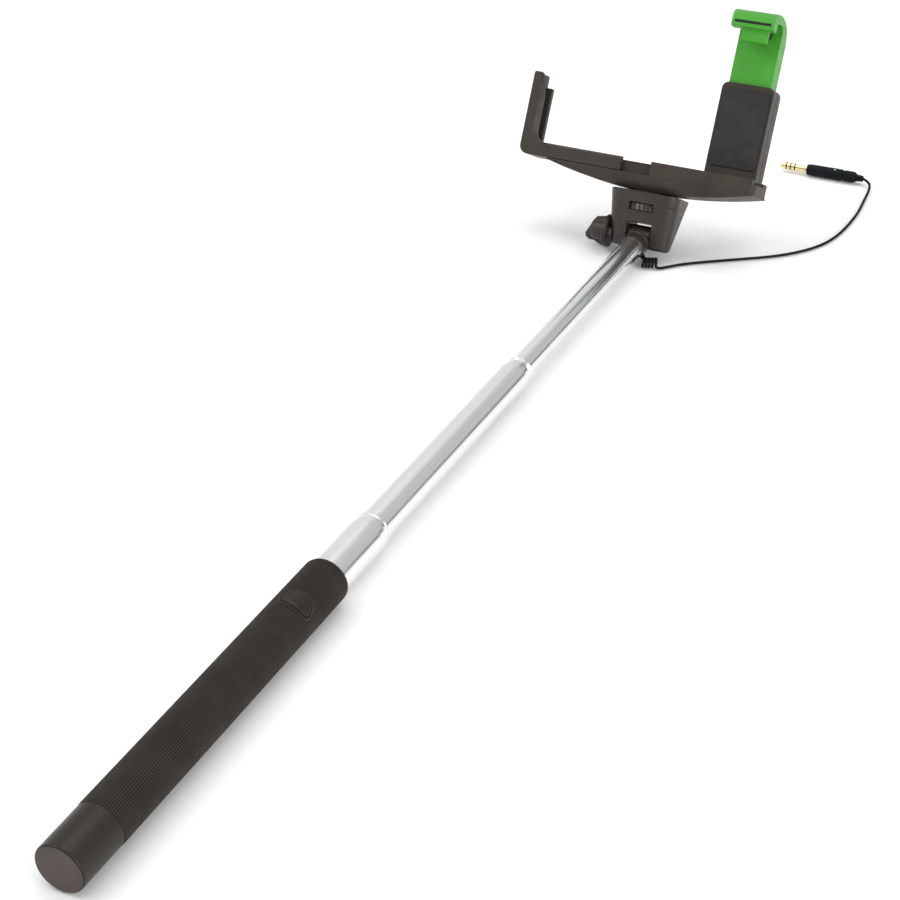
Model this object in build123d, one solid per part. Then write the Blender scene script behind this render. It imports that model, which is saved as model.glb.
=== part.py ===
from build123d import *
from math import cos, pi, radians, sin, tan
import os

# A wired selfie stick: a rubber-sleeved handle with a shutter button, two chrome telescopic
# sections, a tilting head block with a thumbwheel, and a sprung phone cradle.
#
# Units are millimetres. The stick frame has its origin on the tilt hinge, +X along the hinge bolt to
# the cradle's right end, +Y along the stick away from the handle, +Z up. "Reach" is the distance from
# the tilt hinge back along the stick, so the end cap's face is at reach HANDLE_END.
# The head frame is the stick frame turned by HEAD_TILT about the hinge: +Y up the phone's back, +Z out
# of the phone's screen.

# ---- driving dimensions: the stick ----
HANDLE_END = 467.6
CAP_FRONT = 446.4
GRIP_FRONT = 305.0
CAP_RADIUS = 9.0
GRIP_RADIUS = 9.15
RIB_COUNT = 64
RIB_DEPTH = 0.4
STICK_HEIGHT = GRIP_RADIUS           # the stick lies on its grip, so this is its axis height
TUBE_WALL = 0.8
OUTER_TUBE_RADIUS = 7.9
MIDDLE_TUBE_RADIUS = 6.7
INNER_TUBE_RADIUS = 5.3
OUTER_TUBE_FRONT = 270.0
MIDDLE_TUBE_FRONT = 139.0
MIDDLE_TUBE_REAR = 305.0
INNER_TUBE_FRONT = 8.2
INNER_TUBE_REAR = 170.0
SWAGE_LENGTH = 7.0
BUSH_LENGTH = 8.0
RUNNING_GAP = 0.05
CAP_SPIGOT = 10.0

# ---- driving dimensions: the shutter button ----
BUTTON_REACH = 330.3
BUTTON_ANGLE = 25.0                  # round the grip from straight up, towards +X
BUTTON_TOP = 9.7
BUTTON_SKIN = 1.45
BUTTON_GAP = 0.15
BEZEL_WALL = 0.9
BOARD_BASE = 7.15
BOARD_SIZE = (4.4, 7.0, 0.5)
DOME_RADIUS = 1.5
DOME_HEIGHT = 0.2

# ---- driving dimensions: the head block (head frame) ----
HEAD_TILT = 60.95
BLOCK_BOTTOM = -5.5
BLOCK_TOP = 20.3
BLOCK_SEAM = 15.1
BLOCK_BOTTOM_HALF = (14.2, 4.8)
BLOCK_TOP_HALF = (17.1, 12.4)
BLOCK_SCREW_X = 14.0
BLOCK_CORNERS = (4.2, 6.5)            # at the bottom and at the top
SLOT_HALF_WIDTH = 6.2
SLOT_ROOF = 6.2
KNUCKLE_RADIUS = 5.38
KNUCKLE_HALF_WIDTH = 5.25
WASHER_THICKNESS = 0.85
BOLT_RADIUS = 2.5
BOLT_END = 11.4
BOLT_TAIL = -22.6
INSERT_RADIUS = 4.0
KNOB_BASE = -15.7
INSERT_FACES = (-20.2, -17.0)        # moulded in, so that only the bolt's hole shows
HUB_END = -18.0
HUB_RADIUS = 7.8
KNOB_CORE_END = -25.0
KNOB_CORE_RADIUS = 4.8
WING_ANGLE = 95.0                    # of the wing's long edge, from the stick's axis towards straight up
WING_THICKNESS = 4.2
NUT_RADIUS = 4.4
NUT_FACES = (SLOT_HALF_WIDTH + 0.1, SLOT_HALF_WIDTH + 3.3)
WHEEL_RADIUS = 10.6
WHEEL_BASE = 11.6
WHEEL_THICKNESS = 3.1
WHEEL_TEETH = 26
WINDOW_HALF_WIDTH = 6.0
STUD_RADIUS = 3.17
STUD_TOP = 26.9
STUD_CLEARANCE = 0.33                # round the stud where it only passes through
SWIVEL_PAD_THICKNESS = 0.5

# ---- driving dimensions: the cradle (head frame) ----
CRADLE_FRONT = 10.8
CRADLE_BACK = -10.8
HULL_BOTTOM = BLOCK_TOP + SWIVEL_PAD_THICKNESS + RUNNING_GAP
HULL_TOP = 27.95
HULL_LEFT = -51.4
CRADLE_RIGHT = 51.8
SHELF_TOP = 32.4
TRAY_LEFT = -34.5
LIP_BACK = 7.4
LIP_LEFT = 0.6
LIP_RIGHT = 50.0
LIP_TOP = 34.6
REAR_LIP_FRONT = -2.4
PAD_THICKNESS = 0.5
PHONE_BACK = -1.2
RAIL_SIZE = (70.0, 2.4, 10.2)
RAIL_LEFT = -62.0
RAIL_BASE = 28.9

# ---- driving dimensions: the sliding side arm ----
ARM_LEFT = -66.0
ARM_WALL = 2.2
ARM_TOP = 67.4
ARM_INNER = -59.4
ARM_LIP_TOP = 34.8
ARM_LIP_END = -14.3
ARM_CORNER = 4.0
ARM_LIP_CHAMFER = 1.8
ARM_BOTTOM = HULL_TOP + 0.15
FOOT_END = -51.4
FOOT_BACK = -7.2

# ---- driving dimensions: the top clamp and its housing ----
CLAMP_LEFT = 24.8
CLAMP_RIGHT = 45.0
CLAMP_MIDDLE = (CLAMP_LEFT + CLAMP_RIGHT) / 2
HOUSING_WALL = 2.3
HOUSING_TOP = 78.0
HOUSING_BACK = -15.0
HOUSING_SPLIT = -8.6
LEG_BACK = -13.4
LEG_FRONT = -3.8
LEG_BOTTOM = 50.0
SLIDE_GAP = 0.15
HOUSING_LEFT = CLAMP_LEFT - SLIDE_GAP - HOUSING_WALL
HOUSING_RIGHT = CLAMP_RIGHT + SLIDE_GAP + HOUSING_WALL
NECK_LEFT = 29.6
HOOK_ROOF = 106.2
GROOVE = (103.4, 104.7)              # the slot along the hook's front, from bottom to top
NECK_RIGHT = 42.1

# ---- driving dimensions: the lead ----
LEAD_RADIUS = 0.65
RELIEF_SLOPE = 56.0                  # the relief leaves the collar down and to the right
RELIEF_RADIUS = 1.2
RELIEF_END = 8.0
RELIEF_Y = -8.4
COIL_RADIUS = 2.6
COIL_START = (4.7, -13.0)
COIL_LENGTH = 7.8
COIL_TURN = 21.9                     # of the coil's axis, from +X towards +Y
PLUG_RADIUS = 2.95
PLUG_BACK = 69.0
PLUG_FRONT = 43.5
PLUG_Y = 120.1
RELIEF_LENGTH = 3.7
JACK_RADIUS = 1.75
JACK_SLEEVE = 6.0
JACK_ROOT = 4.0
JACK_ROOT_RADIUS = 1.5


# ---- helpers ----

def turned(points):
    """A solid of revolution about the stick's axis from (radius, reach) points."""
    outline = Polyline(*[(radius, -reach) for radius, reach in points], close=True)
    return revolve(make_face(outline), Axis.Y)


def ring(start, end, outer, inner=0.0):
    """A plain ring or disc on the stick's axis, from one reach to another."""
    return turned([(inner, start), (outer, start), (outer, end), (inner, end)])


def cuboid(x0, x1, y0, y1, z0, z1):
    """A box given by its six faces."""
    box = Box(x1 - x0, y1 - y0, z1 - z0)
    return Pos((x0 + x1) / 2, (y0 + y1) / 2, (z0 + z1) / 2) * box


def rod_x(x0, x1, radius, y=0.0, z=0.0):
    """A round rod along X."""
    return Pos((x0 + x1) / 2, y, z) * Rot(0, 90, 0) * Cylinder(radius, x1 - x0)


def rod_y(y0, y1, radius, x=0.0, z=0.0):
    """A round rod along Y."""
    return Pos(x, (y0 + y1) / 2, z) * Rot(90, 0, 0) * Cylinder(radius, y1 - y0)


def rod_z(z0, z1, radius, x=0.0, y=0.0):
    """A round rod along Z."""
    return Pos(x, y, (z0 + z1) / 2) * Cylinder(radius, z1 - z0)


def side_profile(points, x0, x1):
    """A prism along X whose outline is given in (z, y)."""
    outline = Polyline(*[(x0, y, z) for z, y in points], close=True)
    return extrude(make_face(outline), x1 - x0, dir=(1, 0, 0))


# ---- the handle ----

def make_end_cap():
    body = ring(CAP_FRONT, HANDLE_END, CAP_RADIUS)
    body = fillet(body.edges().filter_by(GeomType.CIRCLE).sort_by(Axis.Y)[0], 1.3)
    body = chamfer(body.edges().filter_by(GeomType.CIRCLE).sort_by(Axis.Y)[-1], 0.5)
    spigot = ring(CAP_FRONT - CAP_SPIGOT, CAP_FRONT, OUTER_TUBE_RADIUS - TUBE_WALL)
    return body + spigot


def button_place():
    """The button's own frame: +Y along the stick, +Z straight out of the grip."""
    return Pos(0, -BUTTON_REACH, 0) * Rot(0, BUTTON_ANGLE, 0)


def pick_outline(grow):
    """The button's rounded three-sided outline, with its flat side towards the end cap."""
    left, right, nose = (-6.0, -3.6), (6.0, -3.6), (0.0, 4.6)
    sides = [
        ThreePointArc(left, (0.0, -4.8), right),
        ThreePointArc(right, (4.4, 1.4), nose),
        ThreePointArc(nose, (-4.4, 1.4), left),
    ]
    face = make_face(sides)
    face = fillet(face.vertices(), 1.7)
    return offset(face, amount=grow) if grow else face


def pick_shell(grow, inner, outer):
    """The outline cut as a curved plate between two radii about the stick's axis."""
    prism = extrude(pick_outline(grow), 2 * CAP_RADIUS)
    shell = Rot(90, 0, 0) * (Cylinder(outer, 30) - Cylinder(inner, 31))
    return button_place() * (prism & shell)


def make_grip():
    pitch = 360.0 / RIB_COUNT
    crest, root = GRIP_RADIUS, GRIP_RADIUS - RIB_DEPTH
    corners = [(root, -0.40), (crest, -0.20), (crest, 0.20), (root, 0.40)]
    points = []
    for rib in range(RIB_COUNT):
        for radius, share in corners:
            angle = radians((rib + share) * pitch)
            points.append((radius * sin(angle), 0.0, radius * cos(angle)))
    ribbed = extrude(make_face(Polyline(*points, close=True)), CAP_FRONT - GRIP_FRONT, dir=(0, -1, 0))
    ribbed = Pos(0, -GRIP_FRONT, 0) * ribbed
    rounded = ring(GRIP_FRONT, CAP_FRONT, GRIP_RADIUS + 0.05)
    rounded = fillet(rounded.edges().filter_by(GeomType.CIRCLE).sort_by(Axis.Y)[-1], 1.25)
    bore = ring(GRIP_FRONT - 1, CAP_FRONT + 1, OUTER_TUBE_RADIUS)
    pocket = pick_shell(BUTTON_GAP + BEZEL_WALL, OUTER_TUBE_RADIUS - 1, GRIP_RADIUS + 2)
    return (ribbed & rounded) - bore - pocket


def make_outer_tube():
    wall_in = OUTER_TUBE_RADIUS - TUBE_WALL
    neck = MIDDLE_TUBE_RADIUS + 0.25
    tube = turned([
        (neck, OUTER_TUBE_FRONT), (neck + 0.45, OUTER_TUBE_FRONT),
        (neck + 0.45, OUTER_TUBE_FRONT + 1.2), (OUTER_TUBE_RADIUS, OUTER_TUBE_FRONT + SWAGE_LENGTH),
        (OUTER_TUBE_RADIUS, CAP_FRONT), (wall_in, CAP_FRONT),
        (wall_in, OUTER_TUBE_FRONT + SWAGE_LENGTH), (neck, OUTER_TUBE_FRONT + 2.0),
    ])
    wide, length = BOARD_SIZE[0] + 0.2, BOARD_SIZE[1] + 0.2
    window = button_place() * cuboid(-wide / 2, wide / 2, -length / 2, length / 2, 4, 12)
    return tube - window


def make_outer_tube_bush():
    start = OUTER_TUBE_FRONT + SWAGE_LENGTH
    return ring(start, start + BUSH_LENGTH, OUTER_TUBE_RADIUS - TUBE_WALL, MIDDLE_TUBE_RADIUS + RUNNING_GAP)


def make_shutter_button():
    return pick_shell(0.0, BUTTON_TOP - BUTTON_SKIN, BUTTON_TOP)


def make_button_bezel():
    outer = pick_shell(BUTTON_GAP + BEZEL_WALL, OUTER_TUBE_RADIUS, GRIP_RADIUS + 0.25)
    inner = pick_shell(BUTTON_GAP, OUTER_TUBE_RADIUS - 1, GRIP_RADIUS + 2)
    return outer - inner


def make_switch_board():
    wide, length, thick = BOARD_SIZE
    return button_place() * cuboid(-wide / 2, wide / 2, -length / 2, length / 2, BOARD_BASE, BOARD_BASE + thick)


def make_switch_dome():
    base = BOARD_BASE + BOARD_SIZE[2]
    return button_place() * rod_z(base, base + DOME_HEIGHT, DOME_RADIUS)


# ---- the telescopic sections ----

def make_middle_tube():
    wall_in = MIDDLE_TUBE_RADIUS - TUBE_WALL
    neck = INNER_TUBE_RADIUS + 0.25
    front, full = MIDDLE_TUBE_FRONT, MIDDLE_TUBE_FRONT + SWAGE_LENGTH
    return turned([
        (neck, front), (neck + 0.5, front), (neck + 0.5, front + 0.9), (neck + 0.2, front + 1.3),
        (neck + 0.6, front + 1.8), (neck + 0.6, front + 2.6), (MIDDLE_TUBE_RADIUS, full),
        (MIDDLE_TUBE_RADIUS, MIDDLE_TUBE_REAR), (wall_in, MIDDLE_TUBE_REAR), (wall_in, full),
        (neck, front + 2.6),
    ])


def make_middle_tube_ring():
    return ring(MIDDLE_TUBE_REAR - BUSH_LENGTH, MIDDLE_TUBE_REAR,
                OUTER_TUBE_RADIUS - TUBE_WALL - RUNNING_GAP, MIDDLE_TUBE_RADIUS)


def make_middle_tube_bush():
    start = MIDDLE_TUBE_FRONT + SWAGE_LENGTH
    return ring(start, start + BUSH_LENGTH, MIDDLE_TUBE_RADIUS - TUBE_WALL, INNER_TUBE_RADIUS + RUNNING_GAP)


def make_inner_tube():
    return ring(INNER_TUBE_FRONT, INNER_TUBE_REAR, INNER_TUBE_RADIUS, INNER_TUBE_RADIUS - TUBE_WALL)


def make_inner_tube_ring():
    return ring(INNER_TUBE_REAR - BUSH_LENGTH, INNER_TUBE_REAR,
                MIDDLE_TUBE_RADIUS - TUBE_WALL - RUNNING_GAP, INNER_TUBE_RADIUS)


def relief_body(radius, start, end):
    """A round piece on the relief's axis, between two distances from the stick's axis."""
    middle = (start + end) / 2
    slope = radians(RELIEF_SLOPE)
    place = Pos(middle * cos(slope), RELIEF_Y, -middle * sin(slope))
    return place * Rot(0, 90 + RELIEF_SLOPE, 0) * Cylinder(radius, end - start)


def make_tip_collar():
    socket = INNER_TUBE_RADIUS - TUBE_WALL
    body = turned([
        (socket, 5.4), (5.4, 5.4), (6.0, 6.0), (6.0, 7.4), (5.8, 7.8), (5.8, 13.4), (5.4, 13.8),
        (INNER_TUBE_RADIUS, 13.8), (INNER_TUBE_RADIUS, INNER_TUBE_FRONT), (socket, INNER_TUBE_FRONT),
    ])
    return body - relief_body(RELIEF_RADIUS, INNER_TUBE_RADIUS + 0.1, RELIEF_END)


def make_knuckle():
    socket = INNER_TUBE_RADIUS - TUBE_WALL
    eye = rod_x(-KNUCKLE_HALF_WIDTH, KNUCKLE_HALF_WIDTH, KNUCKLE_RADIUS)
    eye = chamfer(eye.edges().filter_by(GeomType.CIRCLE), 0.5)
    neck = ring(0, 5.4, 4.3)
    spigot = ring(5.4, 24.0, socket)
    hole = rod_x(-10, 10, BOLT_RADIUS + RUNNING_GAP)
    return eye + neck + spigot - hole


# ---- the head block ----

def block_half(y):
    """Half width and half depth of the tapered block at a height."""
    share = (y - BLOCK_BOTTOM) / (BLOCK_TOP - BLOCK_BOTTOM)
    return [low + (high - low) * share for low, high in zip(BLOCK_BOTTOM_HALF, BLOCK_TOP_HALF)]


def block_section(y):
    wide, deep = block_half(y)
    corner = BLOCK_CORNERS[0] if y == BLOCK_BOTTOM else BLOCK_CORNERS[1]
    plane = Plane(origin=(0, y, 0), x_dir=(1, 0, 0), z_dir=(0, 1, 0))
    return plane * RectangleRounded(2 * wide, 2 * deep, corner)


def block_body():
    body = loft([block_section(BLOCK_BOTTOM), block_section(BLOCK_TOP)])
    return fillet(body.faces().sort_by(Axis.Y)[0].edges(), 1.6)


def screw_places():
    return [(-BLOCK_SCREW_X, 0.0), (BLOCK_SCREW_X, 0.0)]


def make_block_fork():
    fork = block_body() & cuboid(-30, 30, BLOCK_BOTTOM - 1, BLOCK_SEAM, -30, 30)
    fork -= cuboid(-SLOT_HALF_WIDTH, SLOT_HALF_WIDTH, BLOCK_BOTTOM - 1, SLOT_ROOF, -30, 30)
    fork -= rod_y(WHEEL_BASE - 0.3, BLOCK_SEAM + 1, WHEEL_RADIUS + 0.4)
    for z0, z1 in ((7.0, 30.0), (-30.0, -7.0)):
        fork -= cuboid(-WINDOW_HALF_WIDTH, WINDOW_HALF_WIDTH, WHEEL_BASE - 0.3, BLOCK_SEAM + 1, z0, z1)
    fork -= rod_x(-30, BOLT_END + 0.3, BOLT_RADIUS + RUNNING_GAP)
    fork -= hexagon_x(0, NUT_FACES[1], NUT_RADIUS)
    for x, z in screw_places():
        fork -= rod_y(7.0, BLOCK_SEAM + 1, 1.0, x, z)
    return fork


def make_block_top():
    top = block_body() & cuboid(-30, 30, BLOCK_SEAM, BLOCK_TOP + 1, -30, 30)
    top -= rod_y(BLOCK_SEAM - 1, BLOCK_TOP + 1, STUD_RADIUS + STUD_CLEARANCE)
    for x, z in screw_places():
        top -= rod_y(BLOCK_SEAM - 1, BLOCK_TOP + 1, 1.0, x, z)
        top -= rod_y(BLOCK_TOP - 1.3, BLOCK_TOP + 1, 1.9, x, z)
    return top


def small_screw_y(x, z, bottom, head_base, shank_radius, head_radius, head_height):
    """A cross-head screw standing along +Y with its head up."""
    screw = rod_y(bottom, head_base, shank_radius, x, z)
    screw += rod_y(head_base, head_base + head_height, head_radius, x, z)
    for size in ((0.9 * head_radius, 0.25 * head_radius), (0.25 * head_radius, 0.9 * head_radius)):
        screw -= cuboid(x - size[0] / 2, x + size[0] / 2, head_base + head_height - 0.5,
                        head_base + head_height + 1, z - size[1] / 2, z + size[1] / 2)
    return screw


def make_block_screws():
    return Compound(children=[
        small_screw_y(x, z, 7.0, BLOCK_TOP - 1.3, 1.0, 1.8, 1.1) for x, z in screw_places()
    ])


def make_swivel_pad():
    pad = rod_y(BLOCK_TOP, BLOCK_TOP + SWIVEL_PAD_THICKNESS, 9.5)
    return pad - rod_y(BLOCK_TOP - 1, BLOCK_TOP + 2, STUD_RADIUS + STUD_CLEARANCE)


def hexagon_x(x0, x1, radius):
    """A hexagonal bar along X, given the radius of its corners."""
    return Pos(x0, 0, 0) * Rot(0, 90, 0) * extrude(RegularPolygon(radius, 6), x1 - x0)


def make_tilt_bolt():
    """The bolt turns with the wing knob and pulls on the nut in the right cheek."""
    bolt = rod_x(BOLT_TAIL, BOLT_END, BOLT_RADIUS)
    return chamfer(bolt.edges().filter_by(GeomType.CIRCLE).sort_by(Axis.X)[-1], 0.5)


def make_tilt_nut():
    nut = hexagon_x(*NUT_FACES, NUT_RADIUS)
    return nut - rod_x(NUT_FACES[0] - 1, NUT_FACES[1] + 1, BOLT_RADIUS + RUNNING_GAP)


def make_friction_washers():
    washers = []
    for side in (-1, 1):
        inner = side * (KNUCKLE_HALF_WIDTH + RUNNING_GAP)
        outer = inner + side * WASHER_THICKNESS
        low, high = min(inner, outer), max(inner, outer)
        hole = rod_x(low - 1, high + 1, BOLT_RADIUS + RUNNING_GAP)
        washers.append(rod_x(low, high, KNUCKLE_RADIUS - 0.3) - hole)
    return Compound(children=washers)


def make_wing_knob():
    """A flat lever with one long and one short lobe, standing on a grooved flange."""
    hub = rod_x(HUB_END, KNOB_BASE, HUB_RADIUS)
    hub = fillet(hub.edges().filter_by(GeomType.CIRCLE).sort_by(Axis.X)[0], 0.6)
    groove = KNOB_BASE - 0.9
    hub -= rod_x(groove - 0.3, groove + 0.3, HUB_RADIUS + 1) - rod_x(groove - 1, groove + 1, HUB_RADIUS - 0.5)
    wing_outline = Polyline((HUB_END + 0.5, 6.9), (-23.4, 5.8), (-28.2, -2.4), (-28.2, -4.3), (-26.4, -5.8),
                            (-24.0, -5.8), (-20.2, -7.8), (HUB_END + 0.5, -8.2), close=True)
    wing_face = fillet(make_face(wing_outline).vertices(), 0.9)
    wings = Pos(0, 0, -WING_THICKNESS / 2) * extrude(wing_face, WING_THICKNESS)
    wings = fillet(wings.edges().group_by(Axis.Z)[-1] + wings.edges().group_by(Axis.Z)[0], 0.8)
    core = rod_x(KNOB_CORE_END, KNOB_BASE - 0.5, KNOB_CORE_RADIUS)
    core = fillet(core.edges().filter_by(GeomType.CIRCLE).sort_by(Axis.X)[0], 1.6)
    body = hub + wings + core
    body -= rod_x(BOLT_TAIL, -14, BOLT_RADIUS)
    body -= rod_x(*INSERT_FACES, INSERT_RADIUS)
    return Rot(WING_ANGLE - HEAD_TILT, 0, 0) * body


def make_knob_insert():
    return rod_x(*INSERT_FACES, INSERT_RADIUS) - rod_x(BOLT_TAIL, -14, BOLT_RADIUS)


def make_thumbwheel():
    points = []
    for tooth in range(WHEEL_TEETH):
        for radius, share in ((WHEEL_RADIUS - 0.55, -0.36), (WHEEL_RADIUS, -0.2),
                              (WHEEL_RADIUS, 0.2), (WHEEL_RADIUS - 0.55, 0.36)):
            angle = 2 * pi * (tooth + share) / WHEEL_TEETH
            points.append((radius * sin(angle), WHEEL_BASE, radius * cos(angle)))
    wheel = extrude(make_face(Polyline(*points, close=True)), WHEEL_THICKNESS, dir=(0, 1, 0))
    return wheel - rod_y(WHEEL_BASE - 1, WHEEL_BASE + 5, STUD_RADIUS)


def make_tripod_stud():
    stud = rod_y(WHEEL_BASE, STUD_TOP, STUD_RADIUS)
    return chamfer(stud.edges().filter_by(GeomType.CIRCLE).sort_by(Axis.Y)[-1], 0.6)


# ---- the cradle ----

def make_cradle_hull():
    def boat(left, right, bottom, half_top, half_bottom):
        lowest = ((left + right) / 2, bottom)
        arc = ThreePointArc((left, HULL_TOP - 0.5), lowest, (right, HULL_TOP - 0.5))
        edge = Polyline((right, HULL_TOP - 0.5), (right, HULL_TOP), (left, HULL_TOP), (left, HULL_TOP - 0.5))
        long_way = Pos(0, 0, -15) * extrude(make_face([arc, edge]), 30)
        across = [
            Line((0, HULL_TOP, -half_top), (0, HULL_TOP, half_top)),
            ThreePointArc((0, HULL_TOP, half_top), (0, (HULL_TOP + bottom) / 2 - 0.4, half_top - 0.9),
                          (0, bottom, half_bottom)),
            Line((0, bottom, half_bottom), (0, bottom, -half_bottom)),
            ThreePointArc((0, bottom, -half_bottom), (0, (HULL_TOP + bottom) / 2 - 0.4, 0.9 - half_top),
                          (0, HULL_TOP, -half_top)),
        ]
        section = Pos(-60, 0, 0) * extrude(make_face(across), 130, dir=(1, 0, 0))
        return long_way & section

    hull = boat(HULL_LEFT, CRADLE_RIGHT, HULL_BOTTOM, CRADLE_FRONT, 7.2)
    hull -= boat(HULL_LEFT + 7, CRADLE_RIGHT - 7, HULL_BOTTOM + 1.9, CRADLE_FRONT - 2, 5.2)
    hull += rod_y(HULL_BOTTOM + 0.5, HULL_TOP, 7.0)
    hull -= rod_y(HULL_BOTTOM - 1, HULL_TOP + 1, STUD_RADIUS + STUD_CLEARANCE)
    hull -= rod_y(HULL_BOTTOM + 0.6, HULL_TOP + 1, 5.0)
    for x, z in hull_screw_places():
        hull += rod_y(HULL_TOP - 3.6, HULL_TOP, 2.2, x, z)
        hull -= rod_y(HULL_BOTTOM - 1, HULL_TOP + 1, 0.9, x, z)
    return hull


def hull_screw_places():
    return [(-29.0, 0.0), (29.0, 0.0)]


def make_hull_screws():
    """The two screws that hold the tray to the hull, put in from above."""
    return Compound(children=[
        small_screw_y(x, z, HULL_TOP - 3.4, HULL_TOP, 0.9, 1.7, 0.7) for x, z in hull_screw_places()
    ])


def make_tripod_insert():
    insert = rod_y(HULL_BOTTOM + 0.6, HULL_TOP - 0.3, 5.0)
    return insert - rod_y(HULL_BOTTOM - 1, HULL_TOP + 1, STUD_RADIUS + RUNNING_GAP)


def make_cradle_tray():
    tray = cuboid(TRAY_LEFT, CRADLE_RIGHT, HULL_TOP, SHELF_TOP, CRADLE_BACK, LIP_BACK - 0.15)
    tray += cuboid(LIP_LEFT, CRADLE_RIGHT, HULL_TOP, SHELF_TOP, 0, CRADLE_FRONT)
    tray += cuboid(LIP_LEFT, LIP_RIGHT, SHELF_TOP - 0.1, LIP_TOP, LIP_BACK, CRADLE_FRONT)
    tray += cuboid(TRAY_LEFT, CRADLE_RIGHT, SHELF_TOP - 0.1, LIP_TOP - 0.4, CRADLE_BACK, REAR_LIP_FRONT)
    tray -= cuboid(HOUSING_LEFT - 0.1, HOUSING_RIGHT + 0.1, SHELF_TOP, HOUSING_TOP, -20, REAR_LIP_FRONT + 1)
    channel_half = RAIL_SIZE[2] / 2 + 0.1
    channel_top = RAIL_BASE + RAIL_SIZE[1] + 0.1
    tray -= cuboid(TRAY_LEFT - 1, 22.5, RAIL_BASE - 0.1, channel_top, -channel_half, channel_half)
    for x, z in hull_screw_places():
        tray -= rod_y(HULL_TOP - 1, HULL_TOP + 0.8, 1.8, x, z)
    tray = chamfer(tray.edges().filter_by(Axis.Y).sort_by(Axis.X)[-2:], 2.0)
    return tray


def make_shelf_pad():
    return cuboid(TRAY_LEFT + 2, LIP_RIGHT - 1, SHELF_TOP, SHELF_TOP + PAD_THICKNESS,
                  PHONE_BACK - 0.6, LIP_BACK - 0.8)


def housing_block(z0, z1, y0):
    """A slab of the clamp's housing with its two upper corners rounded."""
    block = cuboid(HOUSING_LEFT, HOUSING_RIGHT, y0, HOUSING_TOP, z0, z1)
    return fillet(block.edges().filter_by(Axis.Z).sort_by(Axis.Y)[-2:], 3.0)


def slider_channel():
    return cuboid(CLAMP_LEFT - SLIDE_GAP, CLAMP_RIGHT + SLIDE_GAP, SHELF_TOP + 3.1, HOUSING_TOP + 5,
                  LEG_BACK - SLIDE_GAP, LEG_FRONT + SLIDE_GAP)


def cover_screw_places():
    sides = (HOUSING_LEFT + HOUSING_WALL / 2, HOUSING_RIGHT - HOUSING_WALL / 2)
    return [(x, y) for x in sides for y in (40.0, 72.0)]


def make_back_housing():
    shell = housing_block(HOUSING_SPLIT, PHONE_BACK - 1.0, SHELF_TOP) - slider_channel()
    for x, y in cover_screw_places():
        shell -= rod_z(HOUSING_SPLIT - 1, HOUSING_SPLIT + 3.5, 0.55, x, y)
    return shell


def make_back_cover():
    cover = housing_block(HOUSING_BACK, HOUSING_SPLIT, HULL_TOP) - slider_channel()
    cover -= cuboid(0, 60, HULL_TOP - 1, SHELF_TOP, CRADLE_BACK, 0)
    cover -= detent_pocket()
    for x, y in cover_screw_places():
        cover -= rod_z(HOUSING_BACK - 1, HOUSING_SPLIT + 1, 0.55, x, y)
        cover -= rod_z(HOUSING_BACK - 1, HOUSING_BACK + 0.7, 0.95, x, y)
    for row in range(5):
        y = 50.0 + 3.0 * row
        cover -= cuboid(CLAMP_MIDDLE - 6.2, CLAMP_MIDDLE + 6.2, y, y + 1.2,
                        HOUSING_BACK - 1, HOUSING_BACK + 0.4)
    return fillet(cover.faces().sort_by(Axis.Z)[0].outer_wire().edges(), 0.8)


def detent_pocket():
    return cuboid(CLAMP_MIDDLE - 3, CLAMP_MIDDLE + 3, 52, 68, LEG_BACK - SLIDE_GAP - 0.6, LEG_BACK)


def make_detent_spring():
    """A flat steel leaf that rubs on the clamp's slider and holds its height."""
    return cuboid(CLAMP_MIDDLE - 2.8, CLAMP_MIDDLE + 2.8, 52.2, 67.8,
                  LEG_BACK - SLIDE_GAP - 0.6, LEG_BACK - 0.1)


def make_cover_screws():
    screws = []
    for x, y in cover_screw_places():
        screw = rod_z(HOUSING_BACK + 0.7, HOUSING_SPLIT + 3.5, 0.55, x, y)
        screw += rod_z(HOUSING_BACK + 0.1, HOUSING_BACK + 0.7, 0.95, x, y)
        screws.append(screw)
    return Compound(children=screws)


def make_back_pad():
    pad = cuboid(CLAMP_LEFT - 1.4, CLAMP_RIGHT + 1.4, 39, 75, PHONE_BACK - 1.0, PHONE_BACK)
    return fillet(pad.edges().filter_by(Axis.Z), 2.0)


# ---- the sliding side arm ----

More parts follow.
